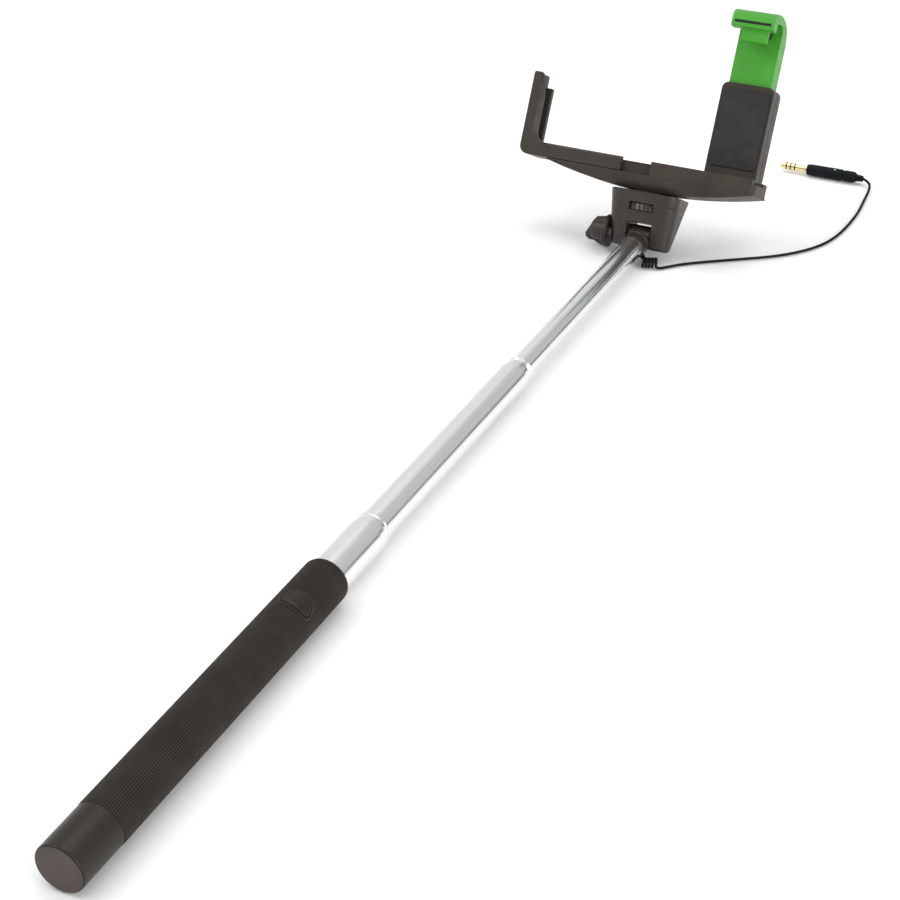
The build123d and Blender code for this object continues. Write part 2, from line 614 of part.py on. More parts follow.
def make_side_arm():
    blank = make_face(Polyline((ARM_LIP_END, ARM_BOTTOM), (ARM_LEFT, ARM_BOTTOM), (ARM_LEFT, ARM_TOP),
                               (ARM_LEFT + 3.8, ARM_TOP), (ARM_LIP_END, ARM_TOP), close=True))
    blank = fillet(blank.vertices().sort_by_distance((ARM_LEFT, ARM_BOTTOM))[0], ARM_CORNER)
    blank = fillet(blank.vertices().sort_by_distance((ARM_LEFT, ARM_TOP))[0], 1.0)
    bay = make_face(Polyline((ARM_LEFT + 3.8, ARM_TOP), (ARM_INNER - 0.8, ARM_TOP - 5.3), (ARM_INNER, ARM_TOP - 13),
                             (ARM_INNER, ARM_LIP_TOP), (ARM_LIP_END, ARM_LIP_TOP), (0, ARM_LIP_TOP),
                             (0, ARM_TOP + 1), (ARM_LEFT + 3.8, ARM_TOP + 1), close=True))
    bay = fillet(bay.vertices().sort_by_distance((ARM_INNER, ARM_LIP_TOP))[0], 5.0)
    lip = Pos(0, 0, LIP_BACK) * extrude(blank - bay, CRADLE_FRONT - LIP_BACK)
    seat_edges = [edge for edge in lip.faces().sort_by(Axis.Z)[-1].edges()
                  if ARM_LEFT + 3 < edge.center().X < ARM_LIP_END - 1 and edge.center().Y > ARM_BOTTOM + 1
                  and edge.center().Y < ARM_TOP - 0.5]
    lip = chamfer(seat_edges, ARM_LIP_CHAMFER)
    wall = cuboid(ARM_LEFT, ARM_LEFT + ARM_WALL, ARM_BOTTOM, ARM_TOP, -4.6, CRADLE_FRONT)
    foot = cuboid(ARM_LEFT, FOOT_END, ARM_BOTTOM, SHELF_TOP, FOOT_BACK, CRADLE_FRONT)
    rear = cuboid(ARM_LEFT, ARM_INNER - 0.7, ARM_BOTTOM, ARM_TOP - 6, -4.6, PHONE_BACK - 0.3)
    trim = Pos(0, 0, -20) * extrude(blank, 40)
    arm = ((wall + foot + rear) & trim) + lip
    rail_half = RAIL_SIZE[2] / 2
    arm -= cuboid(RAIL_LEFT, 30, RAIL_BASE, RAIL_BASE + RAIL_SIZE[1], -rail_half, rail_half)
    for x, z in arm_screw_places():
        arm -= rod_y(ARM_BOTTOM - 1, RAIL_BASE + 0.1, 1.5, x, z)
    return arm


def arm_screw_places():
    return [(RAIL_LEFT + 6, -2.6), (RAIL_LEFT + 6, 2.6)]


def make_arm_screws():
    """Two countersunk screws that come up through the foot into the rail."""
    return Compound(children=[
        rod_y(ARM_BOTTOM + 0.2, RAIL_BASE, 1.5, x, z) + rod_y(RAIL_BASE, RAIL_BASE + 1.8, 0.8, x, z)
        for x, z in arm_screw_places()
    ])


def make_arm_rail():
    length, thick, deep = RAIL_SIZE
    rail = cuboid(RAIL_LEFT, RAIL_LEFT + length, RAIL_BASE, RAIL_BASE + thick, -deep / 2, deep / 2)
    for x, z in arm_screw_places():
        rail -= rod_y(RAIL_BASE - 1, RAIL_BASE + 1.8, 0.8, x, z)
    return rail


def make_arm_pad():
    base = ARM_LEFT + ARM_WALL
    pad = cuboid(base, base + 0.7, 37, ARM_TOP - 6, PHONE_BACK + 0.2, LIP_BACK - 0.8)
    return fillet(pad.edges().filter_by(Axis.X), 1.2)


# ---- the top clamp ----

def make_top_clamp():
    def at(z, y):
        return (CLAMP_LEFT, y, z)

    outline = [
        Polyline(at(LEG_FRONT, LEG_BOTTOM), at(LEG_BACK, LEG_BOTTOM), at(LEG_BACK, 98.3)),
        ThreePointArc(at(LEG_BACK, 98.3), at(-10.6, 105.4), at(-4.5, 108.8)),
        ThreePointArc(at(-4.5, 108.8), at(2.0, 110.1), at(8.3, 109.7)),
        ThreePointArc(at(8.3, 109.7), at(11.3, 108.2), at(12.5, 105.2)),
        Polyline(at(12.5, 105.2), at(12.3, 101.8), at(9.1, 101.4), at(9.1, 97.0)),
        ThreePointArc(at(9.1, 97.0), at(8.0, 95.8), at(6.9, 97.0)),
        Polyline(at(6.9, 97.0), at(6.9, 103.4)),
        ThreePointArc(at(6.9, 103.4), at(6.2, 105.4), at(4.4, HOOK_ROOF)),
        Polyline(at(4.4, HOOK_ROOF), at(-1.0, HOOK_ROOF)),
        ThreePointArc(at(-1.0, HOOK_ROOF), at(-3.0, 105.2), at(LEG_FRONT, 102.8)),
        Polyline(at(LEG_FRONT, 102.8), at(LEG_FRONT, LEG_BOTTOM)),
    ]
    clamp = extrude(make_face(outline), CLAMP_RIGHT - CLAMP_LEFT, dir=(1, 0, 0))
    for x0, x1 in ((CLAMP_LEFT - 1, NECK_LEFT), (NECK_RIGHT, CLAMP_RIGHT + 1)):
        clamp -= cuboid(x0, x1, 95, 101.4, LEG_FRONT + 4, 20)
    clamp -= cuboid(CLAMP_LEFT + 1.3, CLAMP_RIGHT - 1.5, *GROOVE, 9.9, 20)
    clamp -= cuboid(CLAMP_LEFT + 2.2, CLAMP_RIGHT - 2.2, LEG_BOTTOM - 1, 96, LEG_BACK + 2, LEG_FRONT - 2)
    return clamp


def make_clamp_pad():
    base = HOOK_ROOF - 6.7
    outline = [(-2.6, base), (6.4, base), (6.4, base + 3.6), (4.3, HOOK_ROOF), (-1.0, HOOK_ROOF),
               (-2.6, base + 3.8)]
    pad = side_profile(outline, NECK_LEFT - 0.8, NECK_RIGHT - 1.3)
    return fillet(pad.edges().filter_by(Axis.X).sort_by_distance((NECK_LEFT, base, 2))[:2], 1.0)


def make_clamp_strip():
    """The dark strip keyed into the slot along the clamp's front."""
    return cuboid(CLAMP_LEFT + 1.3, CLAMP_RIGHT - 1.5, *GROOVE, 9.9, 11.9)


# ---- the lead ----

FLOOR = -STICK_HEIGHT                # the surface the stick lies on, in the stick frame
COIL_AXIS = (cos(radians(COIL_TURN)), sin(radians(COIL_TURN)))
COIL_END = (COIL_START[0] + COIL_LENGTH * COIL_AXIS[0], COIL_START[1] + COIL_LENGTH * COIL_AXIS[1])
COIL_SIDE = 1.7                      # how far to the coil's handle side the lead leaves it

# The lead's route from the coil to the plug, as (x, y, height above the floor).
LEAD_ROUTE = [
    (COIL_END[0] + COIL_SIDE * COIL_AXIS[1], COIL_END[1] - COIL_SIDE * COIL_AXIS[0], 0.8),
    (22.3, -2.3, 0.65),
    (40.5, 10.3, 0.65),
    (61.0, 24.0, 0.65),
    (74.5, 40.6, 0.65),
    (79.5, 58.0, 0.65),
    (80.7, 83.6, 0.65),
    (79.0, 101.0, 0.65),
    (78.4, 112.0, 1.4),
    (76.6, 118.4, 2.5),
    (PLUG_BACK + RELIEF_LENGTH, PLUG_Y, PLUG_RADIUS),
]


def make_cord_relief():
    return relief_body(RELIEF_RADIUS, INNER_TUBE_RADIUS + 0.1, RELIEF_END)


def make_cord_coil():
    place = Pos(COIL_START[0], COIL_START[1], FLOOR + COIL_RADIUS) * Rot(0, 0, COIL_TURN)
    return place * rod_x(0, COIL_LENGTH, COIL_RADIUS)


def make_cord():
    points = [Vector(x, y, FLOOR + height) for x, y, height in LEAD_ROUTE]
    radii = []
    for before, here, after in zip(points, points[1:], points[2:]):
        shorter = min((here - before).length, (after - here).length)
        turn = (here - before).get_angle(after - here)
        radii.append(0.45 * shorter / tan(radians(turn / 2)))
    path = FilletPolyline(*points, radius=radii)
    section = Plane(origin=path @ 0, z_dir=path % 0) * Circle(LEAD_RADIUS)
    tube = sweep(section, path=path)
    print("lead radii", [round(radius, 1) for radius in radii])
    print("lead length", round(path.length, 1), "volume ratio",
          round(tube.volume / (path.length * pi * LEAD_RADIUS ** 2), 4))
    return tube


def plug_rod(x0, x1, radius):
    return rod_x(x0, x1, radius, PLUG_Y, FLOOR + PLUG_RADIUS)


def make_plug_body():
    body = plug_rod(PLUG_FRONT, PLUG_BACK, PLUG_RADIUS)
    body = fillet(body.edges().filter_by(GeomType.CIRCLE), 0.7)
    return body - plug_rod(PLUG_FRONT - 1, PLUG_FRONT + JACK_ROOT, JACK_ROOT_RADIUS)


def make_plug_relief():
    relief = plug_rod(PLUG_BACK, PLUG_BACK + RELIEF_LENGTH, 1.9)
    for groove in range(3):
        x = PLUG_BACK + 0.7 + 1.0 * groove
        relief -= plug_rod(x, x + 0.45, 3) - plug_rod(x - 1, x + 2, 1.45)
    return relief


def make_jack_sleeve():
    root = plug_rod(PLUG_FRONT, PLUG_FRONT + JACK_ROOT, JACK_ROOT_RADIUS)
    return plug_rod(PLUG_FRONT - JACK_SLEEVE, PLUG_FRONT, JACK_RADIUS) + root


def jack_pieces(starts, length, radius):
    front = PLUG_FRONT - JACK_SLEEVE
    return [plug_rod(front - start - length, front - start, radius) for start in starts]


def make_jack_insulators():
    return Compound(children=jack_pieces((0.0, 2.2, 4.4), 0.6, JACK_RADIUS))


def make_jack_contacts():
    tip_start = PLUG_FRONT - JACK_SLEEVE - 5.0
    tip = plug_rod(tip_start - 3.0, tip_start, JACK_RADIUS)
    tip = chamfer(tip.edges().filter_by(GeomType.CIRCLE).sort_by(Axis.X)[0], 1.1)
    return Compound(children=jack_pieces((0.6, 2.8), 1.6, JACK_RADIUS) + [tip])


# ---- assembly ----

STICK_PARTS = {
    "end_cap": make_end_cap,
    "grip_sleeve": make_grip,
    "outer_tube": make_outer_tube,
    "outer_tube_bush": make_outer_tube_bush,
    "shutter_button": make_shutter_button,
    "button_bezel": make_button_bezel,
    "switch_board": make_switch_board,
    "switch_dome": make_switch_dome,
    "middle_tube": make_middle_tube,
    "middle_tube_ring": make_middle_tube_ring,
    "middle_tube_bush": make_middle_tube_bush,
    "inner_tube": make_inner_tube,
    "inner_tube_ring": make_inner_tube_ring,
    "tip_collar": make_tip_collar,
    "knuckle": make_knuckle,
}
HEAD_PARTS = {
    "block_fork": make_block_fork,
    "block_top": make_block_top,
    "block_screws": make_block_screws,
    "swivel_pad": make_swivel_pad,
    "tilt_bolt": make_tilt_bolt,
    "tilt_nut": make_tilt_nut,
    "friction_washers": make_friction_washers,
    "wing_knob": make_wing_knob,
    "knob_insert": make_knob_insert,
    "thumbwheel": make_thumbwheel,
    "tripod_stud": make_tripod_stud,
    "cradle_hull": make_cradle_hull,
    "hull_screws": make_hull_screws,
    "tripod_insert": make_tripod_insert,
    "cradle_tray": make_cradle_tray,
    "shelf_pad": make_shelf_pad,
    "back_housing": make_back_housing,
    "back_cover": make_back_cover,
    "back_pad": make_back_pad,
    "detent_spring": make_detent_spring,
    "cover_screws": make_cover_screws,
    "side_arm": make_side_arm,
    "arm_rail": make_arm_rail,
    "arm_screws": make_arm_screws,
    "arm_pad": make_arm_pad,
    "top_clamp": make_top_clamp,
    "clamp_pad": make_clamp_pad,
    "clamp_strip": make_clamp_strip,
}
LEAD_PARTS = {
    "cord_relief": make_cord_relief,
    "cord_coil": make_cord_coil,
    "cord": make_cord,
    "plug_body": make_plug_body,
    "plug_relief": make_plug_relief,
    "jack_sleeve": make_jack_sleeve,
    "jack_insulators": make_jack_insulators,
    "jack_contacts": make_jack_contacts,
}


def main():
    body = {name: make() for name, make in STICK_PARTS.items()}
    for name, make in HEAD_PARTS.items():
        body[name] = Rot(HEAD_TILT, 0, 0) * make()
    boxes = [solid.bounding_box() for solid in body.values()]
    lead = {name: make() for name, make in LEAD_PARTS.items()}
    middle_x = (min(box.min.X for box in boxes) + max(box.max.X for box in boxes)) / 2
    middle_y = (min(box.min.Y for box in boxes) + max(box.max.Y for box in boxes)) / 2
    lowest = min(box.min.Z for box in boxes)
    hinge = (-middle_x, -middle_y, -lowest)
    print("tilt hinge in the row frame", [round(value, 3) for value in hinge])
    os.makedirs("parts", exist_ok=True)
    for name, solid in {**body, **lead}.items():
        export_step(Pos(*hinge) * solid, f"parts/{name}.step")


main()
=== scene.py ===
from math import atan2, cos, exp, pi, radians, sin, tan

import bmesh
import bpy
from mathutils import Matrix, Vector


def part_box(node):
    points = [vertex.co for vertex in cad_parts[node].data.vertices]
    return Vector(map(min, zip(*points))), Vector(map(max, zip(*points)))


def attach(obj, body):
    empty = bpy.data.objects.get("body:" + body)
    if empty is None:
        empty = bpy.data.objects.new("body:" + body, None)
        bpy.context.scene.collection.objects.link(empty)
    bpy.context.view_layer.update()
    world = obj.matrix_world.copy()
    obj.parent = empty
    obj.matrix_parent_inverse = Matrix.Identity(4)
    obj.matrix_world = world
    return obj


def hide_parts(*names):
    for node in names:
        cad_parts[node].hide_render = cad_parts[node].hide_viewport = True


# A wired selfie stick lying on a pale floor with its head upright. Shapes are written in millimetres in
# one of two frames. The stick frame has its origin on the tilt hinge, +Y along the stick away from the
# handle and +Z up; "reach" is the distance back from the hinge. The head frame is the stick frame leant
# back with the cradle: +Y up the phone's back, +Z out of its screen.

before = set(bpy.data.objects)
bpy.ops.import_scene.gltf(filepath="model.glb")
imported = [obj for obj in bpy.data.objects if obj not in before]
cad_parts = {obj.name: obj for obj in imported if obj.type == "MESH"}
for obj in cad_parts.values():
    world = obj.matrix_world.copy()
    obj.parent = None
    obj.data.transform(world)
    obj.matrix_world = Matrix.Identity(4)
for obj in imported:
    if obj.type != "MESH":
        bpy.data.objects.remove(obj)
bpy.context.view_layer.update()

MM = 0.001
HEAD_TILT = radians(60.95)
BOLT_HOLE = 2.55                     # radius of the tilt bolt's hole, in every piece that it goes through
STUD_HOLE = 3.5                      # radius of the hole round the tripod stud


def box_centre(node):
    low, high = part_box(node)
    return (low + high) / 2


bolt_centre = box_centre("tilt_bolt")
HINGE = Vector((box_centre("end_cap").x, bolt_centre.y, bolt_centre.z))
STICK = Matrix.Translation(HINGE) @ Matrix.Scale(MM, 4)
HEAD = STICK @ Matrix.Rotation(HEAD_TILT, 4, "X")
FLOOR = -HINGE.z / MM                # the floor's height in the stick frame


# ---------------------------------------------------------------- mesh helpers

def rounded(corners, steps=6, closed=True):
    """An outline's points, with each (x, y, radius) corner turned into an arc."""
    points = []
    last = len(corners) - 1
    for index, corner in enumerate(corners):
        here = Vector(corner[:2])
        radius = corner[2] if len(corner) > 2 else 0.0
        if radius == 0.0 or (not closed and index in (0, last)):
            points.append(here)
            continue
        back = (Vector(corners[index - 1][:2]) - here).normalized()
        ahead = (Vector(corners[(index + 1) % len(corners)][:2]) - here).normalized()
        half = back.angle(ahead) / 2
        centre = here + (back + ahead).normalized() * radius / sin(half)
        first = here + back * radius / tan(half) - centre
        final = here + ahead * radius / tan(half) - centre
        start = atan2(first.y, first.x)
        sweep = (atan2(final.y, final.x) - start + pi) % (2 * pi) - pi
        for step in range(steps + 1):
            angle = start + sweep * step / steps
            points.append(centre + radius * Vector((cos(angle), sin(angle))))
    return points


def loft(rings, capped=True, looped=False):
    """A skin over rings of equal length, closed by flat ends or joined end to start."""
    bm = bmesh.new()
    made = [[bm.verts.new(point) for point in ring] for ring in rings]
    pairs = list(zip(made, made[1:]))
    if looped:
        pairs.append((made[-1], made[0]))
    for low, high in pairs:
        for index in range(len(low)):
            after = (index + 1) % len(low)
            bm.faces.new((low[index], low[after], high[after], high[index]))
    if capped and not looped:
        bm.faces.new(made[0])
        bm.faces.new(made[-1])
    return bm


def turned(profile, segments=96, along="Y", looped=False):
    """A surface of revolution from (radius, place) points. A radius of 0 closes it on the axis."""
    rings = []
    for radius, place in profile:
        ring = []
        for index in range(segments):
            angle = 2 * pi * index / segments
            u, v = radius * sin(angle), radius * cos(angle)
            ring.append({"X": (place, u, v), "Y": (u, place, v), "Z": (u, v, place)}[along])
        rings.append(ring)
    bm = loft(rings, capped=False, looped=looped)
    bmesh.ops.remove_doubles(bm, verts=bm.verts, dist=1e-4)
    return bm


def by_reach(profile):
    """The same profile with its places given as reach along the stick."""
    return [(radius, -reach) for radius, reach in profile]


def prism(outline, low, high, plane="XY"):
    """An outline drawn in XY, XZ or ZY, given depth along the third axis."""
    def at(point, depth):
        if plane == "XY":
            return (point[0], point[1], depth)
        if plane == "XZ":
            return (point[0], depth, point[1])
        return (depth, point[1], point[0])
    return loft([[at(point, low) for point in outline], [at(point, high) for point in outline]])


def block(x, y, z):
    """A box from three (low, high) pairs."""
    outline = [(x[0], y[0]), (x[1], y[0]), (x[1], y[1]), (x[0], y[1])]
    return prism(outline, z[0], z[1])


def ease_edges(bm, width, segments=3, sharper_than=38, where=None):
    """Rounds every edge sharper than an angle, or those of them that a test picks."""
    bmesh.ops.recalc_face_normals(bm, faces=bm.faces)
    edges = []
    for edge in bm.edges:
        if len(edge.link_faces) != 2 or edge.calc_face_angle() < radians(sharper_than):
            continue
        middle = (edge.verts[0].co + edge.verts[1].co) / 2
        if where is None or where(middle):
            edges.append(edge)
    bmesh.ops.bevel(bm, geom=edges, offset=width, segments=segments, profile=0.5,
                    affect="EDGES", clamp_overlap=True)
    return bm


def as_object(bm, name="temporary"):
    bmesh.ops.recalc_face_normals(bm, faces=bm.faces)
    mesh = bpy.data.meshes.new(name)
    bm.to_mesh(mesh)
    bm.free()
    thing = bpy.data.objects.new(name, mesh)
    bpy.context.collection.objects.link(thing)
    return thing


def with_modifiers(thing):
    """A temporary object's mesh after its modifiers, as a bmesh. The object is deleted."""
    graph = bpy.context.evaluated_depsgraph_get()
    mesh = bpy.data.meshes.new_from_object(thing.evaluated_get(graph))
    bm = bmesh.new()
    bm.from_mesh(mesh)
    bpy.data.objects.remove(thing)
    return bm


def combined(bm, others, operation):
    """The bmesh after a boolean with each of the others."""
    thing = as_object(bm)
    tools = [as_object(other) for other in others]
    for tool in tools:
        modifier = thing.modifiers.new("cut", "BOOLEAN")
        modifier.operation = operation
        modifier.object = tool
        modifier.solver = "EXACT"
    result = with_modifiers(thing)
    for tool in tools:
        bpy.data.objects.remove(tool)
    bmesh.ops.remove_doubles(result, verts=result.verts, dist=1e-4)
    bmesh.ops.dissolve_degenerate(result, edges=result.edges, dist=1e-4)
    return result


def cut(bm, *others):
    return combined(bm, others, "DIFFERENCE")


def joined(bm, *others):
    return combined(bm, others, "UNION")


def gathered(*parts):
    """Several separate closed surfaces as one bmesh."""
    whole = bmesh.new()
    for part in parts:
        mesh = bpy.data.meshes.new("part")
        bmesh.ops.recalc_face_normals(part, faces=part.faces)
        part.to_mesh(mesh)
        part.free()
        whole.from_mesh(mesh)
        bpy.data.meshes.remove(mesh)
    return whole


def moved(bm, matrix):
    """The same surface after a transform."""
    bmesh.ops.transform(bm, matrix=matrix, verts=bm.verts)
    return bm


def moulded_together(bm, voxel, smoothing):
    """The surface melted into one skin with soft inside corners. Its holes are cut before this."""
    thing = as_object(bm)
    remesh = thing.modifiers.new("remesh", "REMESH")
    remesh.mode = "VOXEL"
    remesh.voxel_size = voxel
    smooth = thing.modifiers.new("smooth", "SMOOTH")
    smooth.factor = 0.5
    smooth.iterations = smoothing
    return with_modifiers(thing)


def piece(name, bm, place, body, finish, replaces=(), sharper_than=35):
    """Puts a finished surface in the scene. finish is a (material, slot name) pair; the slot name is not
    used.
    """
    thing = as_object(bm, name)
    mesh = thing.data
    mesh.transform(place)
    mesh.shade_smooth()
    mesh.set_sharp_from_angle(angle=radians(sharper_than))
    mesh.materials.append(finish[0])
    weighted = thing.modifiers.new("normals", "WEIGHTED_NORMAL")
    weighted.keep_sharp = True
    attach(thing, body)
    if replaces:
        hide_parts(*replaces)
    return thing


# ---------------------------------------------------------------- materials

def new_material(name):
    material = bpy.data.materials.new(name)
    material.use_nodes = True
    tree = material.node_tree
    return material, tree, tree.nodes["Principled BSDF"]


def noise(tree, size_mm, detail=3.0, stretch=(1, 1, 1)):
    """Noise in the object's own space, with features of about size_mm."""
    place = tree.nodes.new("ShaderNodeTexCoord")
    mapping = tree.nodes.new("ShaderNodeMapping")
    mapping.inputs["Scale"].default_value = [factor / (size_mm * MM) for factor in stretch]
    texture = tree.nodes.new("ShaderNodeTexNoise")
    texture.inputs["Scale"].default_value = 1.0
    texture.inputs["Detail"].default_value = detail
    tree.links.new(place.outputs["Object"], mapping.inputs["Vector"])
    tree.links.new(mapping.outputs["Vector"], texture.inputs["Vector"])
    return texture.outputs["Fac"]


def spread(tree, value, low, high, source=(0.3, 0.7)):
    """A value's source range stretched over the range from low to high."""
    node = tree.nodes.new("ShaderNodeMapRange")
    node.inputs["From Min"].default_value = source[0]
    node.inputs["From Max"].default_value = source[1]
    node.inputs["To Min"].default_value = low
    node.inputs["To Max"].default_value = high
    tree.links.new(value, node.inputs["Value"])
    return node.outputs["Result"]


def blend_colours(tree, value, low, high):
    node = tree.nodes.new("ShaderNodeMix")
    node.data_type = "RGBA"
    tree.links.new(value, node.inputs["Factor"])
    node.inputs["A"].default_value = (*low, 1)
    node.inputs["B"].default_value = (*high, 1)
    return node.outputs["Result"]


def add_bump(tree, shader, height, depth_mm):
    node = tree.nodes.new("ShaderNodeBump")
    node.inputs["Distance"].default_value = depth_mm * MM
    node.inputs["Strength"].default_value = 1.0
    tree.links.new(height, node.inputs["Height"])
    tree.links.new(node.outputs["Normal"], shader.inputs["Normal"])


DRIFT_MM, HANDLING_MM, SMUDGE_MM = 14.0, 5.0, 18.0
LINE_DEPTH_MM = 0.0015


def plastic(name, colour, roughness, grain_mm, grain_depth_mm, uneven=0.18, specular=0.3):
    """Moulded plastic or rubber: a fine grain, a slow drift of shade and patchy sheen."""
    material, tree, shader = new_material(name)
    drift = spread(tree, noise(tree, DRIFT_MM, 4.0), 0.0, 1.0)
    darker = [channel * (1 - uneven) for channel in colour]
    lighter = [min(channel * (1 + uneven), 1.0) for channel in colour]
    tree.links.new(blend_colours(tree, drift, darker, lighter), shader.inputs["Base Color"])
    handled = noise(tree, HANDLING_MM, 5.0)
    sheen = spread(tree, handled, roughness * 0.88, min(roughness * 1.14, 1.0))
    tree.links.new(sheen, shader.inputs["Roughness"])
    add_bump(tree, shader, noise(tree, grain_mm, 2.0), grain_depth_mm)
    shader.inputs["Specular IOR Level"].default_value = specular
    return material


def metal(name, colour, roughness, streak=(1, 1, 1), streak_mm=0.5, smudge=0.05):
    """Plated or turned metal: fine lines along one axis and faint smudges."""
    material, tree, shader = new_material(name)
    shader.inputs["Metallic"].default_value = 1.0
    lines = noise(tree, streak_mm, 3.0, streak)
    dim = [channel * 0.93 for channel in colour]
    shade = blend_colours(tree, spread(tree, lines, 0, 1), dim, colour)
    tree.links.new(shade, shader.inputs["Base Color"])
    smudges = spread(tree, noise(tree, SMUDGE_MM, 4.0), roughness, roughness + smudge)
    tree.links.new(smudges, shader.inputs["Roughness"])
    add_bump(tree, shader, lines, LINE_DEPTH_MM)
    return material


ALONG_STICK = (1.0, 0.004, 1.0)              # noise drawn out into lines along the tubes

# Name, colour, roughness, grain size and depth in millimetres, then unevenness and specular level.
body_black = plastic("moulded_black", (0.026, 0.020, 0.0155), 0.36, 0.35, 0.012, 0.18, 0.4)
cradle_black = plastic("cradle_black", (0.035, 0.028, 0.022), 0.45, 0.35, 0.012, 0.18, 0.22)
wheel_black = plastic("wheel_black", (0.042, 0.037, 0.034), 0.32, 0.35, 0.008, 0.15, 0.4)
cap_black = plastic("cap_black", (0.020, 0.016, 0.012), 0.38, 0.5, 0.006, 0.12, 0.2)
# the end face's paler colour is a painted highlight for the light it catches; only its matt roughness is the
# cap's own
cap_end_painted_light = plastic("cap_end_painted_light", (0.075, 0.060, 0.053), 0.5, 0.5, 0.006, 0.12, 0.2)
button_black = plastic("button_black", (0.015, 0.011, 0.009), 0.45, 0.3, 0.008, 0.18, 0.22)
grip_rubber = plastic("grip_rubber", (0.022, 0.0165, 0.012), 0.62, 0.22, 0.02, 0.22, 0.25)
pad_rubber = plastic("pad_rubber", (0.020, 0.020, 0.021), 0.75, 0.25, 0.02)
lead_rubber = plastic("lead_rubber", (0.005, 0.0065, 0.0075), 0.5, 0.4, 0.006, 0.18, 0.1)
clamp_green = plastic("clamp_green", (0.045, 0.27, 0.021), 0.40, 0.5, 0.008, 0.10)
board_green = plastic("board_green", (0.02, 0.12, 0.05), 0.5, 0.4, 0.01)
dot_white = plastic("dot_white", (0.75, 0.75, 0.74), 0.5, 0.3, 0.004, 0.05)

# Name, colour, roughness, then the direction and width of the lines.
chrome = metal("chrome", (0.82, 0.82, 0.825), 0.19, ALONG_STICK, 0.35)
zinc = metal("zinc", (0.56, 0.56, 0.57), 0.28)
brass = metal("brass", (0.74, 0.56, 0.26), 0.25)
gold = metal("gold", (0.86, 0.70, 0.38), 0.16)

BODY = (body_black, "black_plastic")
CRADLE = (cradle_black, "black_plastic")
CAP = (cap_black, "cap_plastic")
BUTTON = (button_black, "cap_plastic")
WHEEL = (wheel_black, "black_plastic")
GRIP = (grip_rubber, "grip_rubber")
PAD = (pad_rubber, "pad_rubber")
LEAD = (lead_rubber, "lead_rubber")
GREEN = (clamp_green, "clamp_green")
CHROME = (chrome, "tube_chrome")

# CAD pieces that are seen as they are.
NODE_FINISH = [
    (zinc, ("tilt_bolt", "tilt_nut", "tripod_stud", "arm_rail", "arm_screws", "hull_screws",
            "block_screws", "cover_screws", "detent_spring", "switch_dome")),
    (brass, ("tripod_insert", "knob_insert")),
    (gold, ("jack_sleeve", "jack_contacts")),
    (board_green, ("switch_board",)),
    (lead_rubber, ("jack_insulators",)),
    (pad_rubber, ("swivel_pad", "friction_washers")),
    (body_black, ("middle_tube_ring", "inner_tube_ring", "outer_tube_bush", "middle_tube_bush")),
]
for material, nodes in NODE_FINISH:
    for node in nodes:
        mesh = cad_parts[node].data
        mesh.materials.clear()
        mesh.materials.append(material)


# ---------------------------------------------------------------- camera

CAMERA_PLACE = (300.94, -805.58, 414.92)     # in the stick frame
CAMERA_TURN = (58.1343, 0.8686, 26.0996)     # degrees
lens = bpy.data.cameras.new("camera")
lens.lens = 80.165
lens.sensor_width = 36.0
lens.clip_start = 0.01
camera = bpy.data.objects.new("camera", lens)
camera.location = STICK @ Vector(CAMERA_PLACE)
camera.rotation_euler = [radians(angle) for angle in CAMERA_TURN]
bpy.context.collection.objects.link(camera)
bpy.context.scene.camera = camera


# ---------------------------------------------------------------- the lead

CORD_RADIUS = 0.65
COIL_AXIS = Vector((0.928, 0.373, 0.0))
COIL_START = Vector((5.3, -12.75, 2.6))      # x and y in the stick frame, and height above the floor
COIL_LENGTH = 6.6
COIL_RADIUS = 1.93                           # to the middle of the cord
COIL_FIRST_ANGLE = radians(45.0)             # where the lead joins the coil: at its back, climbing
COIL_TURN_ANGLE = radians(4 * 360 + 160)     # it leaves from the coil's front, coming down
COIL_LEAN = 1.1                              # how far each turn's top leans towards the plug
POINTS_PER_TURN = 16
PLUG_Y = 120.1
PLUG_HEIGHT = 2.95
PLUG_FRONT, PLUG_BACK, RELIEF_BACK = 43.5, 69.0, 72.7

LEAD_EXIT = (4.47, -8.4, 2.52)
LEAD_ROUTE = [
    (13.0, -12.1, 0.66),
    (15.6, -9.6, 0.65),
    (22.3, -2.3, 0.65),
    (40.5, 10.3, 0.65),
    (61.0, 24.0, 0.65),
    (74.5, 40.6, 0.65),
    (79.5, 58.0, 0.65),
    (80.7, 83.6, 0.65),
    (79.0, 101.0, 0.65),
    (78.4, 112.0, 1.4),
    (76.6, 118.4, 2.5),
    (RELIEF_BACK, PLUG_Y, PLUG_HEIGHT),
]


def coil_points():
    """The coil's turns, leaning a little, from the relief to the first free stretch."""
    side = Vector((-COIL_AXIS.y, COIL_AXIS.x, 0.0))
    points = []
    count = round(COIL_TURN_ANGLE / (2 * pi) * POINTS_PER_TURN)
    for index in range(count + 1):
        share = index / count
        angle = COIL_FIRST_ANGLE + COIL_TURN_ANGLE * share
        rise = COIL_RADIUS * sin(angle)
        along = COIL_LENGTH * share + COIL_LEAN * rise / (2 * COIL_RADIUS)
        place = COIL_START + COIL_AXIS * along + side * COIL_RADIUS * cos(angle)
        points.append((place.x, place.y, place.z + rise))
    return points


